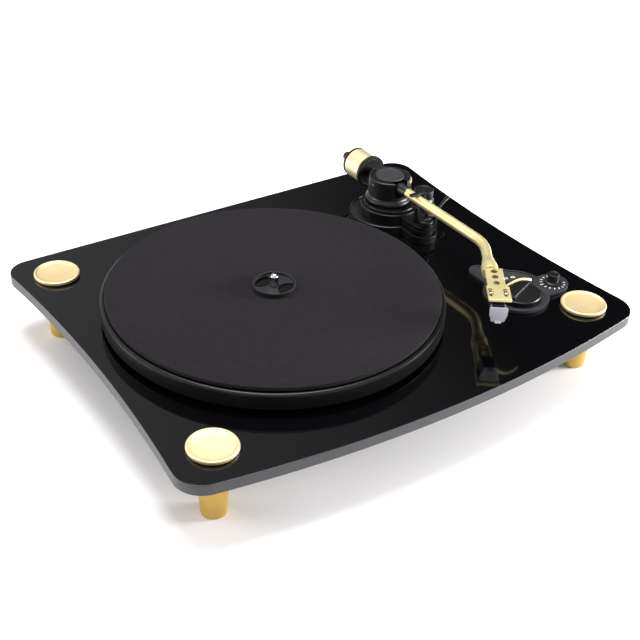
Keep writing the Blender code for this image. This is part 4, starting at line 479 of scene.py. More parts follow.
# Sprayed satin paint: a soft sheen with a trace of orange peel
platter_paint = mottled("satin_black_painted_aluminium", "#050506", (0.7, 0.27, 0.38, 3),
                        grain=(1.1, 0.006, 2), plain={"Specular IOR Level": 0.3})

platter = spun("platter_dish", [(0.0039, 0.0140), (0.1445, 0.0140), (0.1445, 0.0045),
                                (PLATTER_RADIUS, 0.0045), (PLATTER_RADIUS, 0.0160), (0.1497, 0.0176),
                                (0.1488, 0.0185), (0.1478, 0.0188), (0.1466, 0.0187),
                                (0.1462, 0.0184), (0.1459, 0.0184), (0.0039, 0.0192)], 240)
round_edges(platter, 0.0004, segments=2, angle=50)
finished(placed(platter, on_platter), platter_paint, "platter_body", "platter_black", "platter")


# ---------------------------------------------------------------- Platter mat
# A disc die-cut from 3 mm dark wool felt, laid on the platter over the spindle. Its cut edge is soft
# and the pressed fibres give the top a fine mottle.

# Wool felt: no gloss but a faint sheen of raised fibres, dark and light ones mixed
felt = mottled("wool_felt_charcoal", "#141114", 0.95, grain=(0.55, 0.12, 6),
               tint=(2.2, 8, "#141114", "#1a161a"),
               plain={"Specular IOR Level": 0.11, "Sheen Weight": 0.035, "Sheen Roughness": 0.5})

mat = spun("felt_mat", [(0.0039, 0.0196), (0.1457, 0.0196), (0.1458, 0.0200), (0.1459, 0.0215),
                        (0.1457, 0.0222), (0.1452, 0.0226), (0.1200, 0.0226), (0.0900, 0.0226),
                        (0.0600, 0.0226), (0.0300, 0.0226), (0.0043, 0.0226), (0.0039, 0.0223)], 240)
finished(placed(mat, on_platter), felt, "mat_body", "felt", "platter_mat")


# ---------------------------------------------------------------- 45 rpm adapter
# A small black injection-moulded puck that sits over the spindle, with a thin raised rim and two
# half-moon finger dips sunk into its floor.

# Matt ABS: a duller grey-black, for the puck's rim and floor
matt_abs = mottled("matt_black_abs", "#0e0e11", (0.6, 0.37, 0.48, 3), grain=(0.5, 0.008, 2))
# Polished ABS for the dips: a real hard gloss, plus a black darker than the puck's that is painted shade in
# the hollows, so the dips look almost empty
gloss_and_shade_abs = mottled("polished_black_abs_painted_shade", "#020203", (0.8, 0.07, 0.12, 2))

adapter = spun("adapter_puck", [(0.0039, 0.0229), (0.01905, 0.0229), (0.01905, 0.0272), (0.01775, 0.0272),
                                (0.01775, 0.0246), (0.0039, 0.0246)])
round_edges(adapter, 0.0004)
DIP_ANGLE = math.radians(-58)
DIP_FLOOR = 0.0236
DIP_REACH = 0.0168
DIP_HEIGHT = 0.006
DIP_OFFSET = 0.0152
DIP_RADIUS = 0.0105
for side in (-1, 1):
    bpy.ops.mesh.primitive_cylinder_add(vertices=96, radius=DIP_REACH, depth=DIP_HEIGHT,
                                        location=(0, 0, DIP_FLOOR + DIP_HEIGHT / 2))
    dip = bpy.context.object
    bpy.ops.mesh.primitive_cylinder_add(vertices=96, radius=DIP_RADIUS, depth=2 * DIP_HEIGHT,
                                        location=(side * DIP_OFFSET * math.cos(DIP_ANGLE),
                                                  side * DIP_OFFSET * math.sin(DIP_ANGLE),
                                                  DIP_FLOOR + DIP_HEIGHT / 2))
    combined(dip, bpy.context.object, "INTERSECT")
    combined(adapter, dip)
adapter.data.materials.append(matt_abs)
adapter.data.materials.append(gloss_and_shade_abs)
DIP_TOP = 0.0245
# The dip faces take the glossy black with its painted shade, the rest the matt black
for face in adapter.data.polygons:
    in_dip = face.center.z < DIP_TOP and face.center.xy.length < 0.0170 and face.normal.z > -0.5
    face.material_index = 1 if in_dip else 0
finished(placed(adapter, on_platter), None, "adapter_body", "satin_black", "adapter_45", sharp=25)


# ---------------------------------------------------------------- Motor, pulley and belt
# A small can motor hangs under the plinth by its threaded boss, with a rubber gasket above it and a
# ring nut on top. Its turned bronze pulley pulls a flat ground-rubber belt round the sub-platter.

# Ground rubber: dull, with a velvety tooth
rubber = mottled("rubber_matt_black", "#17171a", (1.2, 0.70, 0.86, 4), grain=(0.6, 0.02, 3))

carried("motor", zinc)
carried("motor_nut", zinc)
carried("motor_gasket", rubber)
carried("drive_belt", rubber)

pulley = spun("pulley_turned", [(0, -0.0090), (0.0010, -0.0090), (0.0010, 0.0030), (0.0074, 0.0030),
                                (0.0074, 0.0042), (0.0062, 0.0048), (0.0062, 0.0102), (0.0074, 0.0108),
                                (0.0074, 0.0120), (0, 0.0120)], 72)
round_edges(pulley, 0.0002, segments=2)
finished(placed(pulley, (*MOTOR_PLACE, DECK)), bronze, "pulley_body", "bronze", "motor_pulley")


# ---------------------------------------------------------------- Electronics tray and its sockets
# A black moulded tray pegged up under the plinth keeps the motor, the circuit board and the sockets.
# The phono pair, the power inlet and the earth screw come out through its rear wall.

# Satin ABS: its etched mould leaves a fine grain that breaks up each highlight
abs_plastic = mottled("satin_black_abs", "#08080a", (0.5, 0.29, 0.41, 3), grain=(0.4, 0.008, 2),
                      plain={"Specular IOR Level": 0.4})
# Spark-grained ABS: a coarse even texture that hides scratches and shows no highlight
grained = mottled("spark_grained_black_abs", "#101012", (0.8, 0.48, 0.64, 3), grain=(0.9, 0.05, 3))
# Solder mask: glossy green, lighter where the copper lies under it
board = mottled("green_solder_mask", "#123f22", 0.35, tint=(2.6, 1, "#0f3a1f", "#1c5530"))

carried("electronics_tray", grained)
carried("control_cover", grained)
carried("circuit_board", board)
carried("phono_sockets", abs_plastic)
carried("power_socket", abs_plastic)
carried("earth_terminal", zinc)
for node in ("electronics_tray", "control_cover"):
    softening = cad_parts[node].modifiers.new("moulded_edges", "BEVEL")
    softening.width = 0.0006
    softening.segments = 2
    softening.limit_method = "ANGLE"
    softening.angle_limit = math.radians(40)


# ---------------------------------------------------------------- Tonearm base
# One deep black moulding in steps: a round flange, a smaller tier under the drum, a front lobe for
# the lift and the rest, and a side lobe for the anti-skate. Each step has a thin raised lip.
on_base = (*ARM_PLACE, DECK)
SKATE_PLACE = (0.0390, -0.0080)
PLATFORM_PLACE = (0.0018, -0.0592)
REST_Y = -0.0455
LOBE_X = 0.0031
LOBE_REAR = -0.0177
LOBE_NOSE = -0.0530


def banded(name, circles, low, high, steps=72, lip=0.0, sink=0.0, rounding=0.0006):
    """A slab that hugs several discs (x, y, radius), its top sunk inside a lip where asked."""
    made = pegs(name, [(*circle, low, high) for circle in circles], steps)
    bpy.ops.mesh.select_all(action="SELECT")
    bpy.ops.mesh.convex_hull()
    bpy.ops.mesh.select_all(action="SELECT")
    bpy.ops.mesh.dissolve_limited(angle_limit=math.radians(0.3))
    closed(made)
    if lip > 0:
        pick(made, lambda face: face.center.z > high - sink / 4 and face.normal.z > 0.9, "FACE")
        bpy.ops.mesh.inset(thickness=lip)
        extrude_to((0, 0, -sink))
        bpy.ops.object.mode_set(mode="OBJECT")
    if rounding > 0:
        round_edges(made, rounding, angle=40)
    return made


def box_piece(name, low, high, rounding):
    """A block between two corners, with rounded edges."""
    bpy.ops.mesh.primitive_cube_add(size=1, location=[(a + b) / 2 for a, b in zip(low, high)])
    made = bpy.context.object
    made.name = name
    made.scale = [b - a for a, b in zip(low, high)]
    bpy.ops.object.transform_apply(location=True, scale=True)
    if rounding > 0:
        round_edges(made, rounding)
    return made


base = spun("base_moulding", [(0, 0.0003), (0.0378, 0.0003), (0.0378, 0.0072), (0.0376, 0.0078),
                              (0.0371, 0.0081), (0.0366, 0.0079), (0.0363, 0.0072), (0, 0.0072)], 128)
tier = spun("upper_tier", [(0, 0.0040), (0.0296, 0.0040), (0.0296, 0.0172), (0.0293, 0.0178),
                           (0.0287, 0.0180), (0.0282, 0.0177), (0.0280, 0.0172), (0.0262, 0.0172),
                           (0.0262, 0.0200), (0.0259, 0.0205), (0.0253, 0.0206), (0.0248, 0.0203),
                           (0.0246, 0.0198), (0, 0.0198)], 128)
# It stands a little forward, so that the tracking dial clears it when the arm is lifted
combined(base, placed(tier, (0, -0.0035, 0)), "UNION")
for lobe, radius, low, high, lip in (("front_lobe", 0.0145, 0.0003, 0.0080, 0.0012),
                                     ("front_lobe_tier", 0.0112, 0.0040, 0.0170, 0.0011)):
    combined(base, banded(lobe, [(LOBE_X, LOBE_REAR, radius), (LOBE_X, LOBE_NOSE, radius)], low, high,
                          lip=lip, sink=0.0008, rounding=0.0004), "UNION")
combined(base, banded("side_lobe", [(0.0130, -0.0027, 0.0128), (*SKATE_PLACE, 0.0128)], 0.0003,
                      0.0080, lip=0.0012, sink=0.0008, rounding=0.0004), "UNION")
combined(base, banded("side_lobe_tier", [(0.0195, -0.0040, 0.0112), (*SKATE_PLACE, 0.0112)], 0.0040,
                      0.0115, rounding=0.0005), "UNION")
for height in (0.0108, 0.0126, 0.0144):
    groove = spun("nose_groove", [(0.0107, height), (0.0130, height), (0.0130, height + 0.0008),
                                  (0.0107, height + 0.0008)], 72)
    combined(base, placed(groove, (LOBE_X, LOBE_NOSE, 0)))
LEVER_TURN = math.radians(30.7)
LEVER_PLACE = (0.0125, -0.0530, 0.0208)
CHEEK_GAP = 0.00455
for gap in (-CHEEK_GAP, CHEEK_GAP):
    cheek = box_piece("cheek", (-0.0030, -0.00125, -0.0103), (0.0030, 0.00125, 0.0103), 0.0007)
    placed(cheek, (LEVER_PLACE[0] - gap * math.sin(LEVER_TURN),
                   LEVER_PLACE[1] + gap * math.cos(LEVER_TURN), 0.0143), (0, 0, LEVER_TURN))
    combined(base, cheek, "UNION")
drilled(base, [(0, 0, ARM_BORE, -0.003, 0.023), (*SKATE_PLACE, 0.0116, 0.0115, 0.023),
               (*PLATFORM_PLACE, 0.0025, 0.0032, 0.020), (0, REST_Y, 0.0029, 0.0117, 0.020)], 64)
finished(placed(base, on_base), abs_plastic, "deck", "satin_black", "tonearm_base", sharp=28)
carried("pivot_sleeve", zinc)
carried("base_nut", zinc)


# ---------------------------------------------------------------- Anti-skate knob
# A hard black moulded knob with a flared skirt and a dished top, pressed on its shaft in the side
# lobe behind the arm. Its turn sets the sideways pull on the arm.
def beside(place, x, y, z=0):
    """A place some way from another along each axis."""
    return place[0] + x, place[1] + y, place[2] + z


skate = spun("skate_knob", [(0, 0.0118), (0.0110, 0.0118), (0.0110, 0.0132), (0.0098, 0.0150),
                            (0.0096, 0.0160), (0.0096, 0.0238), (0.0090, 0.0245), (0.0072, 0.0245),
                            (0.0068, 0.0242), (0, 0.0242)])
round_edges(skate, 0.0002, segments=2)
finished(placed(skate, beside(on_base, *SKATE_PLACE)), abs_plastic, "anti_skate_body", "satin_black",
         "anti_skate_knob")


# ---------------------------------------------------------------- Lift platform, cue lever
# The lever raises a small round platform under the tube, with a short bar across its top. Both are
# moulded in black, the lever as a thin rod with a fatter grip at its end.

platform = spun("platform_button", [(0, 0.0035), (0.0022, 0.0035), (0.0022, 0.0175), (0.0066, 0.0175),
                                    (0.0066, 0.0225), (0.0056, 0.0235), (0, 0.0235)], 64)
round_edges(platform, 0.0003, segments=2)
combined(platform, box_piece("lift_bar", (-0.0052, -0.0009, 0.0225), (0.0052, 0.0009, 0.0249), 0.0005),
         "UNION")
finished(placed(platform, beside(on_base, *PLATFORM_PLACE)), abs_plastic, "platform_body", "satin_black",
         "lift_platform")

FORWARD_TURN = (math.radians(90), 0, 0)
SIDEWAYS_TURN = (0, math.radians(90), 0)


def cylinder(name, radius, length, place=(0, 0, 0), turn=(0, 0, 0), steps=32):
    """A plain bar about its middle, upright unless it is turned."""
    bpy.ops.mesh.primitive_cylinder_add(vertices=steps, radius=radius, depth=length, location=place,
                                        rotation=turn)
    bpy.ops.object.transform_apply(location=True, rotation=True)
    bpy.context.object.name = name
    return bpy.context.object


lever = spun("lever_rod", [(0, 0), (0.0013, 0), (0.0013, 0.0387), (0.0016, 0.0396), (0.0019, 0.0406),
                           (0.0019, 0.0474), (0.0015, 0.0483), (0.0008, 0.0487), (0, 0.0487)], 32)
boss = cylinder("lever_and_boss", 0.0030, 0.0060, turn=FORWARD_TURN)
round_edges(boss, 0.0005, segments=2)
combined(boss, placed(lever, (0, 0, 0), SIDEWAYS_TURN), "UNION")
placed(boss, beside(on_base, *LEVER_PLACE), (0, 0, LEVER_TURN))
finished(boss, abs_plastic, "lever_body", "satin_black", "cue_lever")


# ---------------------------------------------------------------- Arm rest and clip
# The rest is a slim moulded post with a ledge that the tube lies on and a wall on its outer side.
# A finger hinged on the wall folds over the tube to lock it.
rest = box_piece("rest_post", (-0.0056, -0.0030, 0.0317), (0.0076, 0.0030, 0.0347), 0.0005)
combined(rest, box_piece("rest_wall", (0.0052, -0.0030, 0.0332), (0.0076, 0.0030, 0.0442), 0.0004), "UNION")
combined(rest, cylinder("rest_stem", 0.0026, 0.0212, (0, 0, 0.0226), steps=40), "UNION")
on_rest = beside(on_base, 0, REST_Y)
finished(placed(rest, on_rest), abs_plastic, "deck", "satin_black", "arm_rest")

clip = box_piece("clip_finger", (-0.0160, -0.0022, -0.0011), (0, 0.0022, 0.0011), 0.0004)
combined(clip, cylinder("clip_pin", 0.0012, 0.0060, turn=FORWARD_TURN), "UNION")
finished(placed(clip, beside(on_rest, 0.0064, 0, 0.0460)), abs_plastic, "clip_body", "satin_black",
         "arm_clip")


# ---------------------------------------------------------------- Pivot housing
# The drum that swings on the upright shaft: a thick moulded yoke with a flared foot, open in front
# and behind for the arm. A flat cap fills its top, and two steel screws hold the arm's axle.
ARM_HEIGHT = 0.0396
on_arm = (*ARM_PLACE, DECK + ARM_HEIGHT)
drum = spun("drum_yoke", [(0, 0.0296), (0.0043, 0.0296), (0.0043, 0.0273), (0.0073, 0.0273),
                          (0.0073, 0.0218), (0.0226, 0.0218), (0.0230, 0.0222), (0.0230, 0.0238),
                          (0.0226, 0.0246), (0.0214, 0.0256), (0.0208, 0.0268), (0.0206, 0.0282),
                          (0.0206, 0.0452), (0.0203, 0.0457), (0.0198, 0.0460), (0.0180, 0.0460),
                          (0.0175, 0.0458), (0.0172, 0.0453), (0, 0.0453)], 128)
combined(drum, box_piece("channel_front", (-0.0072, -0.0500, 0.0304), (0.0072, 0.0065, 0.0700), 0))
rear = box_piece("channel_rear", (-0.0072, 0.0062, 0.0284), (0.0072, 0.0500, 0.0434), 0)
edit(rear)
bpy.ops.mesh.bevel(offset=0.0025, segments=6, affect="EDGES")
bpy.ops.object.mode_set(mode="OBJECT")
combined(drum, rear)
combined(drum, cylinder("axle_bore", 0.0019, 0.0600, (0, 0, ARM_HEIGHT), SIDEWAYS_TURN))
round_edges(drum, 0.0003, segments=2, angle=50)
finished(placed(drum, on_base), abs_plastic, "arm_swing_body", "satin_black", "pivot_housing", sharp=28)

# Matt paint: greyer than the moulded drum round it
cap_paint = mottled("matt_black_painted_cap", "#222226", (0.6, 0.45, 0.56, 3), grain=(0.5, 0.008, 2))
cap = spun("cap_disc", [(0, 0.0456), (0.0142, 0.0456), (0.0142, 0.0462), (0.0139, 0.0466),
                        (0.0134, 0.0467), (0.0130, 0.0465), (0.0128, 0.0462), (0, 0.0462)])
edit(cap)
bpy.ops.mesh.dissolve_limited(angle_limit=math.radians(0.3))
bpy.ops.object.mode_set(mode="OBJECT")
finished(placed(cap, on_base), cap_paint, "arm_swing_body", "satin_black", "pivot_cap")
shaft = spun("shaft_rod", [(0, 0.0040), (0.0040, 0.0040), (0.0040, 0.0293), (0, 0.0293)], 48)
round_edges(shaft, 0.0003, segments=2)
finished(placed(shaft, on_base), steel, "arm_swing_body", "steel", "swing_shaft")

for side, name in ((-1, "left"), (1, "right")):
    screw = spun("pivot_pin_" + name, [(0, 0), (0.0008, 0.0004), (0.0016, 0.0014), (0.0016, 0.0137),
                                       (0.0013, 0.0140), (0, 0.0140)], 32)
    combined(screw, box_piece("screw_slot", (-0.0020, -0.00025, 0.0135), (0.0020, 0.00025, 0.0145), 0))
    placed(screw, beside(on_arm, side * 0.0070, 0), (0, side * math.radians(90), 0))
    finished(screw, steel, "arm_swing_body", "steel", "pivot_screw_" + name)


# ---------------------------------------------------------------- Arm hub and rear stub
# A black axle hangs between the pivot screws. Its collar grips the gold tube in front, and a drop rod
# behind carries the stub that the counterweight screws along.
BACKWARD_TURN = (math.radians(-90), 0, 0)
REAR_DROP = -0.0030
hub = cylinder("hub_axle", 0.0050, 0.0134, turn=SIDEWAYS_TURN, steps=64)
round_edges(hub, 0.0005)
collar = spun("hub_collar", [(0, 0), (0.0030, 0), (0.0030, 0.0163), (0.0050, 0.0163), (0.0055, 0.0168),
                             (0.0062, 0.0182), (0.0062, 0.0215), (0.0060, 0.0220), (0.0062, 0.0225),
                             (0.0060, 0.0288), (0.0056, 0.0295), (0.0049, 0.0295), (0.0049, 0.0220),
                             (0, 0.0220)], 64)
combined(hub, placed(collar, (0, 0, 0), FORWARD_TURN), "UNION")
rod = spun("hub_rod", [(0, 0), (0.0030, 0), (0.0030, 0.0257), (0, 0.0257)], 40)
combined(hub, placed(rod, (0, 0, REAR_DROP), BACKWARD_TURN), "UNION")
finished(placed(hub, on_arm), abs_plastic, "arm_body", "satin_black", "arm_hub", sharp=28)

stub = spun("stub_rod", [(0, 0.0050), (0.0033, 0.0050), (0.0033, 0), (0.0045, 0), (0.0045, 0.0528),
                         (0.0042, 0.0534), (0.0036, 0.0535), (0.0030, 0.0533), (0, 0.0533)], 64)
finished(placed(stub, beside(on_arm, 0, 0.0210, REAR_DROP), BACKWARD_TURN), abs_plastic, "arm_body",
         "satin_black", "rear_stub")


# ---------------------------------------------------------------- Counterweight and tracking dial
# A gold weight turned from bar and finished to match the arm, between a black moulded dial in front
# and a black end cap. Fine lathe marks run round it, and it screws along the rear stub.
turned_gold = new_material("gold_turned_satin", "#e6d6aa", 0.46, metallic=0.9)
tree = turned_gold.node_tree
# Lathe marks 0.9 mm apart, coarser than real ones so that they show
lathe_marks = add_node(tree, "TexWave", {"Vector": add_node(tree, "TexCoord").outputs["Object"],
                                         "Scale": 1000 / 0.9, "Distortion": 0.6, "Detail": 2},
                       wave_type="BANDS", bands_direction="Y")
marks = add_node(tree, "MapRange", {"Value": lathe_marks.outputs["Fac"], "To Min": 0.42, "To Max": 0.54})
join(turned_gold, marks.outputs["Result"], "Roughness")
ridges = add_node(tree, "Bump", {"Height": lathe_marks.outputs["Fac"], "Distance": 0.000004})
join(turned_gold, ridges.outputs["Normal"], "Normal")

weight_place = beside(on_arm, 0, 0, REAR_DROP)
weight = spun("weight_drum", [(0.0048, 0.0343), (0.0143, 0.0343), (0.0148, 0.0348), (0.0148, 0.0557),
                              (0.0143, 0.0562), (0.0048, 0.0562)])
finished(placed(weight, weight_place, BACKWARD_TURN), turned_gold, "counterweight_body", "gold",
         "counterweight")
weight_end = spun("weight_end", [(0.0048, 0.0565), (0.0146, 0.0565), (0.0151, 0.0570), (0.0151, 0.0584),
                                 (0.0147, 0.0591), (0.0138, 0.0594), (0.0120, 0.0592), (0.0048, 0.0592)])
finished(placed(weight_end, weight_place, BACKWARD_TURN), abs_plastic, "counterweight_body",
         "satin_black", "weight_cap")

dial = spun("dial_ring", [(0.0048, 0.0308), (0.0128, 0.0308), (0.0150, 0.0303), (0.0158, 0.0304),
                          (0.0162, 0.0309), (0.0162, 0.0334), (0.0158, 0.0340), (0.0048, 0.0340)], 120)
finished(placed(dial, weight_place, BACKWARD_TURN), abs_plastic, "tracking_dial_body", "satin_black",
         "tracking_dial")

# White graduations pad-printed on the dial's rim, a stroke for each tenth of a gram
print_white = mottled("white_pad_print", "#e9e9e6", (0.5, 0.44, 0.58, 3))
DIAL_STROKES = 30


def strokes(name, count, start, sweep, radius, length, width, height, long_every=5, long_share=1.5):
    """Thin printed strokes round a circle about Z, longer at each long_every."""
    made = None
    for number in range(count):
        angle = start + sweep * number / max(count - 1, 1)
        reach = length * (long_share if number % long_every == 0 else 1)
        middle = radius + reach / 2
        bpy.ops.mesh.primitive_cube_add(size=1)
        stroke = bpy.context.object
        stroke.scale = (reach, width, height)
        placed(stroke, (middle * math.cos(angle), middle * math.sin(angle), 0), (0, 0, angle))
        bpy.ops.object.transform_apply(location=True, rotation=True, scale=True)
        if made is None:
            made = stroke
            made.name = name
        else:
            made.select_set(True)
            bpy.context.view_layer.objects.active = made
            bpy.ops.object.join()
    return made


dial_print = strokes("dial_strokes", DIAL_STROKES, 0, math.tau * (DIAL_STROKES - 1) / DIAL_STROKES,
                     0.0131, 0.0011, 0.00018, 0.00004)
placed(dial_print, beside(weight_place, 0, 0.03062), FORWARD_TURN)
finished(dial_print, print_white, "tracking_dial_body", "ivory")


# ---------------------------------------------------------------- Arm tube and shell collar
# A thin aluminium tube, drawn straight and bent once toward the record, anodised pale gold. A flared
# ferrule is pressed on its end to hold the headshell.
arm_gold = gold_finish("gold_anodised_satin_arm", "#d4ca98", "#cec28c")
TUBE_RADIUS = 0.0046
BEND_ANGLE = math.radians(35.1)
BEND_RADIUS = 0.0410
BEND_START = 0.1310
TUBE_START = 0.0223
AFTER_BEND = 0.0350
bpy.ops.mesh.primitive_circle_add(vertices=48, radius=TUBE_RADIUS, location=(0, -TUBE_START, 0),
                                  rotation=FORWARD_TURN)
tube = bpy.context.object
tube.name = "tube_bent"
bpy.ops.object.transform_apply(location=True, rotation=True)
edit(tube)
extrude_to((0, TUBE_START - BEND_START, 0))
bpy.ops.mesh.spin(steps=24, angle=BEND_ANGLE, center=(-BEND_RADIUS, -BEND_START, 0), axis=(0, 0, 1))
extrude_to((-AFTER_BEND * math.sin(BEND_ANGLE), -AFTER_BEND * math.cos(BEND_ANGLE), 0))
closed(tube)
select_only(tube)
walls = tube.modifiers.new("tube_wall", "SOLIDIFY")
walls.thickness = 0.0008
walls.offset = -1
bpy.ops.object.modifier_apply(modifier=walls.name)
round_edges(tube, 0.0002, segments=2, angle=60)
finished(placed(tube, on_arm), arm_gold, "arm_body", "gold", "arm_tube")

bend_end = Vector((-BEND_RADIUS * (1 - math.cos(BEND_ANGLE)),
                   -BEND_START - BEND_RADIUS * math.sin(BEND_ANGLE), 0))
shell_forward = Vector((-math.sin(BEND_ANGLE), -math.cos(BEND_ANGLE), 0))
tube_end = bend_end + AFTER_BEND * shell_forward
ferrule = spun("ferrule", [(0, 0.0003), (0.0049, 0.0003), (0.0049, -0.0180), (0.0052, -0.0180),
                           (0.0054, -0.0176), (0.0057, -0.0150), (0.0063, -0.0110), (0.0070, -0.0080),
                           (0.0074, -0.0062), (0.0074, 0.0024), (0.0070, 0.0030), (0, 0.0030)], 64)
placed(ferrule, Vector(on_arm) + tube_end, (math.radians(90), 0, -BEND_ANGLE))
finished(ferrule, arm_gold, "arm_body", "gold", "shell_collar", sharp=40)


# ---------------------------------------------------------------- Headshell and finger lift
# A die-cast plate, wider over the cartridge, pierced by three holes and two screw slots, with a rib
# below. The finger lift is a bent rod pressed into its outer side.
# In the shell's own frame X points to the outer side, -Y forward and Z up.
shell_across = Vector((math.cos(BEND_ANGLE), -math.sin(BEND_ANGLE), 0))
shell_place = Vector(on_arm) + tube_end + 0.0033 * shell_forward + 0.0020 * shell_across
SHELL_TURN = (0, 0, -BEND_ANGLE)
SCREW_X = 0.00635
SCREW_REACH = 0.0398
SLOT_HALF_TRAVEL = 0.0040
shell_outline = [(0.0078, 0), (-0.0078, 0), (-0.0078, -0.0280), (-0.0092, -0.0292), (-0.0092, -0.0510),
                 (0.0104, -0.0510), (0.0104, -0.0300), (0.0078, -0.0280)]
shell = flat_outline("shell_plate", [(x, y, 0.0024) for x, y in shell_outline])
extrude_to((0, 0, 0.0028))
closed(shell)
round_edges(shell, 0.0007, segments=4, angle=40)
combined(shell, box_piece("shell_rib", (-0.0060, -0.0205, -0.0042), (0.0060, -0.0005, 0.0038), 0.0010),
         "UNION")
drilled(shell, [(0, -along, 0.0030, -0.0100, 0.0100) for along in (0.0055, 0.0147, 0.0245)], 48)
for half_width, low, high in ((0.0013, -0.001, 0.008), (0.0022, 0.0036, 0.008)):
    for side in (-1, 1):
        ends = [(side * SCREW_X, end * SLOT_HALF_TRAVEL - SCREW_REACH, half_width) for end in (-1, 1)]
        combined(shell, banded("slot", ends, low, high, steps=32, rounding=0.00005))
finished(placed(shell, shell_place, SHELL_TURN), arm_gold, "arm_body", "gold", "headshell", sharp=28)

FINGER_ROOT = (0.0081, -0.0265, 0.0038)
FINGER_STEPS = 16
bpy.ops.mesh.primitive_circle_add(vertices=24, radius=0.0012, location=FINGER_ROOT, rotation=SIDEWAYS_TURN)
finger = bpy.context.object
finger.name = "finger_rod"
bpy.ops.object.transform_apply(location=True, rotation=True)
edit(finger)
bpy.ops.mesh.edge_face_add()
shares = [step / FINGER_STEPS for step in range(FINGER_STEPS + 1)]
path = [Vector((0.0220 * share, 0.0070 * share ** 2, 0.0058 * math.sin(0.86 * math.pi * share)))
        for share in shares]
for before, after in zip(path, path[1:]):
    extrude_to(after - before)
closed(finger)
round_edges(finger, 0.0005, angle=50)
finished(placed(finger, shell_place, SHELL_TURN), arm_gold, "arm_body", "gold", "finger_lift")


# ---------------------------------------------------------------- Cartridge, stylus and guard
# A moulded black cartridge bolted through the shell's slots by two steel screws. Its stylus holder
# plugs on in front, under a clear grey guard that slides off forwards.
EAR_TOP = 0.0021
cartridge = box_piece("cartridge_body", (-0.0055, -0.0465, EAR_TOP - 0.0140), (0.0055, -0.0300, EAR_TOP),
                      0.0006)
combined(cartridge, box_piece("ears", (-0.0088, -0.04355, EAR_TOP - 0.0028), (0.0088, -0.03605, EAR_TOP),
                              0.0006), "UNION")
drilled(cartridge, [(side * SCREW_X, -SCREW_REACH, 0.0013, -0.004, 0.004) for side in (-1, 1)], 32)
finished(placed(cartridge, shell_place, SHELL_TURN), abs_plastic, "arm_body", "satin_black", "cartridge")

for side, name in ((-1, "inner"), (1, "outer")):
    screw = spun("shell_screw_" + name, [(0, -0.0007), (0.0010, -0.0007), (0.0010, 0.0037),
                                         (0.0017, 0.0037), (0.0017, 0.0047), (0.0014, 0.0052),
                                         (0.0008, 0.0055), (0, 0.0055)], 40)
    slot = box_piece("screw_slot", (-0.0020, -0.00025, 0.0049), (0.0020, 0.00025, 0.0063), 0)
    combined(screw, placed(slot, (0, 0, 0), (0, 0, math.radians(35))))
    seat = shell_place + side * SCREW_X * shell_across + SCREW_REACH * shell_forward
    finished(placed(screw, seat, SHELL_TURN), steel, "arm_body", "steel", "cartridge_screw_" + name)

holder = box_piece("stylus_holder", (-0.0050, -0.0510, -0.0129), (0.0050, -0.0468, -0.0004), 0.0006)
combined(holder, box_piece("keel", (-0.0028, -0.0489, -0.0136), (0.0028, -0.0360, -0.0122), 0.0003),
         "UNION")
# The cantilever runs down to the diamond, a cone half a millimetre below its end
ROOT = Vector((0, -0.0420, -0.0132))
TIP = Vector((0, -0.0493, -0.0153))
cantilever = cylinder("cantilever", 0.0004, (TIP - ROOT).length + 0.0004, (ROOT + TIP) / 2,
                      (TIP - ROOT).to_track_quat("Z", "Y").to_euler(), 20)
combined(holder, cantilever, "UNION")
bpy.ops.mesh.primitive_cone_add(vertices=16, radius1=0, radius2=0.00022, depth=0.0010,
                                location=TIP - Vector((0, 0, 0.0005)))
combined(holder, bpy.context.object, "UNION")
finished(placed(holder, shell_place, SHELL_TURN), abs_plastic, "arm_body", "satin_black", "stylus")

# Guard: clear grey moulded styrene, which shows a milky edge where it is thick
clear_grey = mottled("clear_grey_polystyrene", "#c9c9d2", (1.5, 0.14, 0.24, 2),
                     plain={"Transmission Weight": 0.45, "IOR": 1.59})

guard_outline = [(-0.0072, -0.0016), (-0.0076, -0.0030), (-0.0074, -0.0090), (-0.0062, -0.0120),
                 (-0.0054, -0.0156), (0.0056, -0.0156), (0.0068, -0.0120), (0.0078, -0.0090),
                 (0.0079, -0.0030), (0.0072, -0.0016)]
guard = flat_outline("guard_shield", [(x, -0.0523, z) for x, z in guard_outline])
extrude_to((0, -0.0012, 0))
closed(guard)
round_edges(guard, 0.0004)
combined(guard, box_piece("guard_panel", (-0.0031, -0.0541, -0.0102), (0.0031, -0.0532, -0.0052), 0.0002))
for side in (-1, 1):
    inner, outer = sorted((side * 0.0053, side * 0.0064))
    combined(guard, box_piece("guard_arm", (inner, -0.0528, -0.0069), (outer, -0.0468, -0.0019), 0.0002),
             "UNION")
combined(guard, box_piece("guard_tongue", (-0.0026, -0.0569, -0.0150), (0.0026, -0.0529, -0.0138),
                          0.0004), "UNION")
finished(placed(guard, shell_place, SHELL_TURN), clear_grey, "guard_body", "guard", "stylus_guard")


# ---------------------------------------------------------------- Control plate
# A thin die-cast plate painted matt black, curved round the two controls, with a slightly raised edge.
# Its strokes and speeds are printed in white.
matt_paint = mottled("matt_black_painted_zinc", "#1c1c20", (0.5, 0.44, 0.58, 3), grain=(0.5, 0.012, 3))

PLATE_TOP = 0.0033
PLATE_SINK = 0.0006
PLATE_LIP = 0.0017
PLATE_BANDS = (((0, 0.0037, 0.0302), (0.0077, 0.0132, 0.0280)),
               ((0.0087, 0.0182, 0.0225), (-0.0031, 0.0512, 0.0100)),
               ((0.0287, 0.0007, 0.0150), (0.0424, 0.0009, 0.0142)))


def plate_shape(name, low, high, inset):
    """The plate's outline as a slab, drawn in from its edge by an inset."""
    made = None
    for band in PLATE_BANDS:
        discs = [(x, y, radius - inset) for x, y, radius in band]
        slab = banded(name, discs, low, high, steps=128, rounding=0)
        if made is None:
            made = slab
        else:
            combined(made, slab, "UNION")
    return made


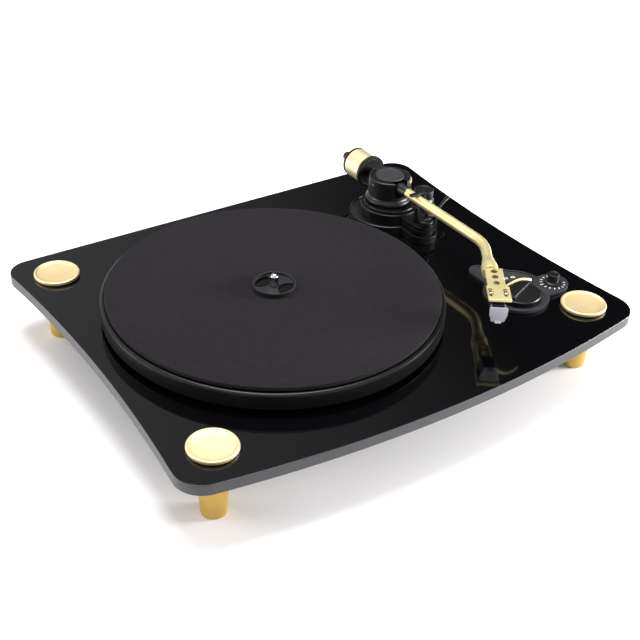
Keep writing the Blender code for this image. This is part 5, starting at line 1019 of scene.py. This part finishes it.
plate = plate_shape("plate_body", 0.0003, PLATE_TOP, 0)
combined(plate, plate_shape("plate_recess", PLATE_TOP - PLATE_SINK, PLATE_TOP + 0.0010, PLATE_LIP))
drilled(plate, [(0, 0, 0.0235, 0.0015, 0.0060)], 128)
round_edges(plate, 0.0003, angle=40)
drilled(plate, [(x, y, KNOB_BORE, -0.0020, 0.0060) for x, y in ((0, 0), (0.0424, 0.0009))], 40)
on_plate = (*SELECTOR_PLACE, DECK)
finished(placed(plate, on_plate), matt_paint, "deck", "plate_black", "control_plate", sharp=28)

pitch_print = strokes("pitch_strokes", 13, math.radians(50), math.radians(280), 0.0097, 0.0022, 0.0008,
                      0.00004)
placed(pitch_print, (*PITCH_PLACE, DECK + PLATE_TOP - PLATE_SINK))
finished(pitch_print, print_white, "deck", "ivory")

bpy.ops.object.text_add()
lettering = bpy.context.object.data
lettering.body = "33  45"
lettering.size = 0.0048
lettering.extrude = 0.00002
lettering.align_x = "CENTER"
bpy.ops.object.convert(target="MESH")
numerals = bpy.context.object
numerals.name = "speed_numerals"
placed(numerals, beside(on_plate, 0.0125, 0.0262, PLATE_TOP - PLATE_SINK), (0, 0, math.radians(-12)))
finished(numerals, print_white, "deck", "ivory")


# ---------------------------------------------------------------- Selector and pitch knobs
# The selector is a low satin disc with a grip ridge moulded across it. The pitch knob is a small
# tapered button with a skirt, on the shaft of a potentiometer under the plinth.
selector = spun("selector_disc", [(0, -0.0115), (0.0030, -0.0115), (0.0030, 0.0020), (0.0195, 0.0020),
                                  (0.0195, 0.0060), (0.0192, 0.0065), (0.0186, 0.0068), (0, 0.0068)], 128)
ridge = box_piece("ridge", (-0.0165, -0.0026, 0.0040), (0.0165, 0.0026, 0.0100), 0.0014)
combined(selector, placed(ridge, (0, 0, 0), (0, 0, math.radians(22.7))), "UNION")
finished(placed(selector, on_plate), abs_plastic, "selector_body", "satin_black", "selector_knob",
         sharp=28)

pitch = spun("pitch_button", [(0, -0.0115), (0.0030, -0.0115), (0.0030, 0.0036), (0.0078, 0.0036),
                              (0.0078, 0.0043), (0.0057, 0.0050), (0.0054, 0.0115), (0.0051, 0.0120),
                              (0.0044, 0.0120), (0.0040, 0.0117), (0, 0.0117)])
round_edges(pitch, 0.0002, segments=2)
finished(placed(pitch, (*PITCH_PLACE, DECK)), abs_plastic, "pitch_body", "satin_black", "pitch_knob")
carried("selector_switch", zinc)
carried("pitch_control", zinc)
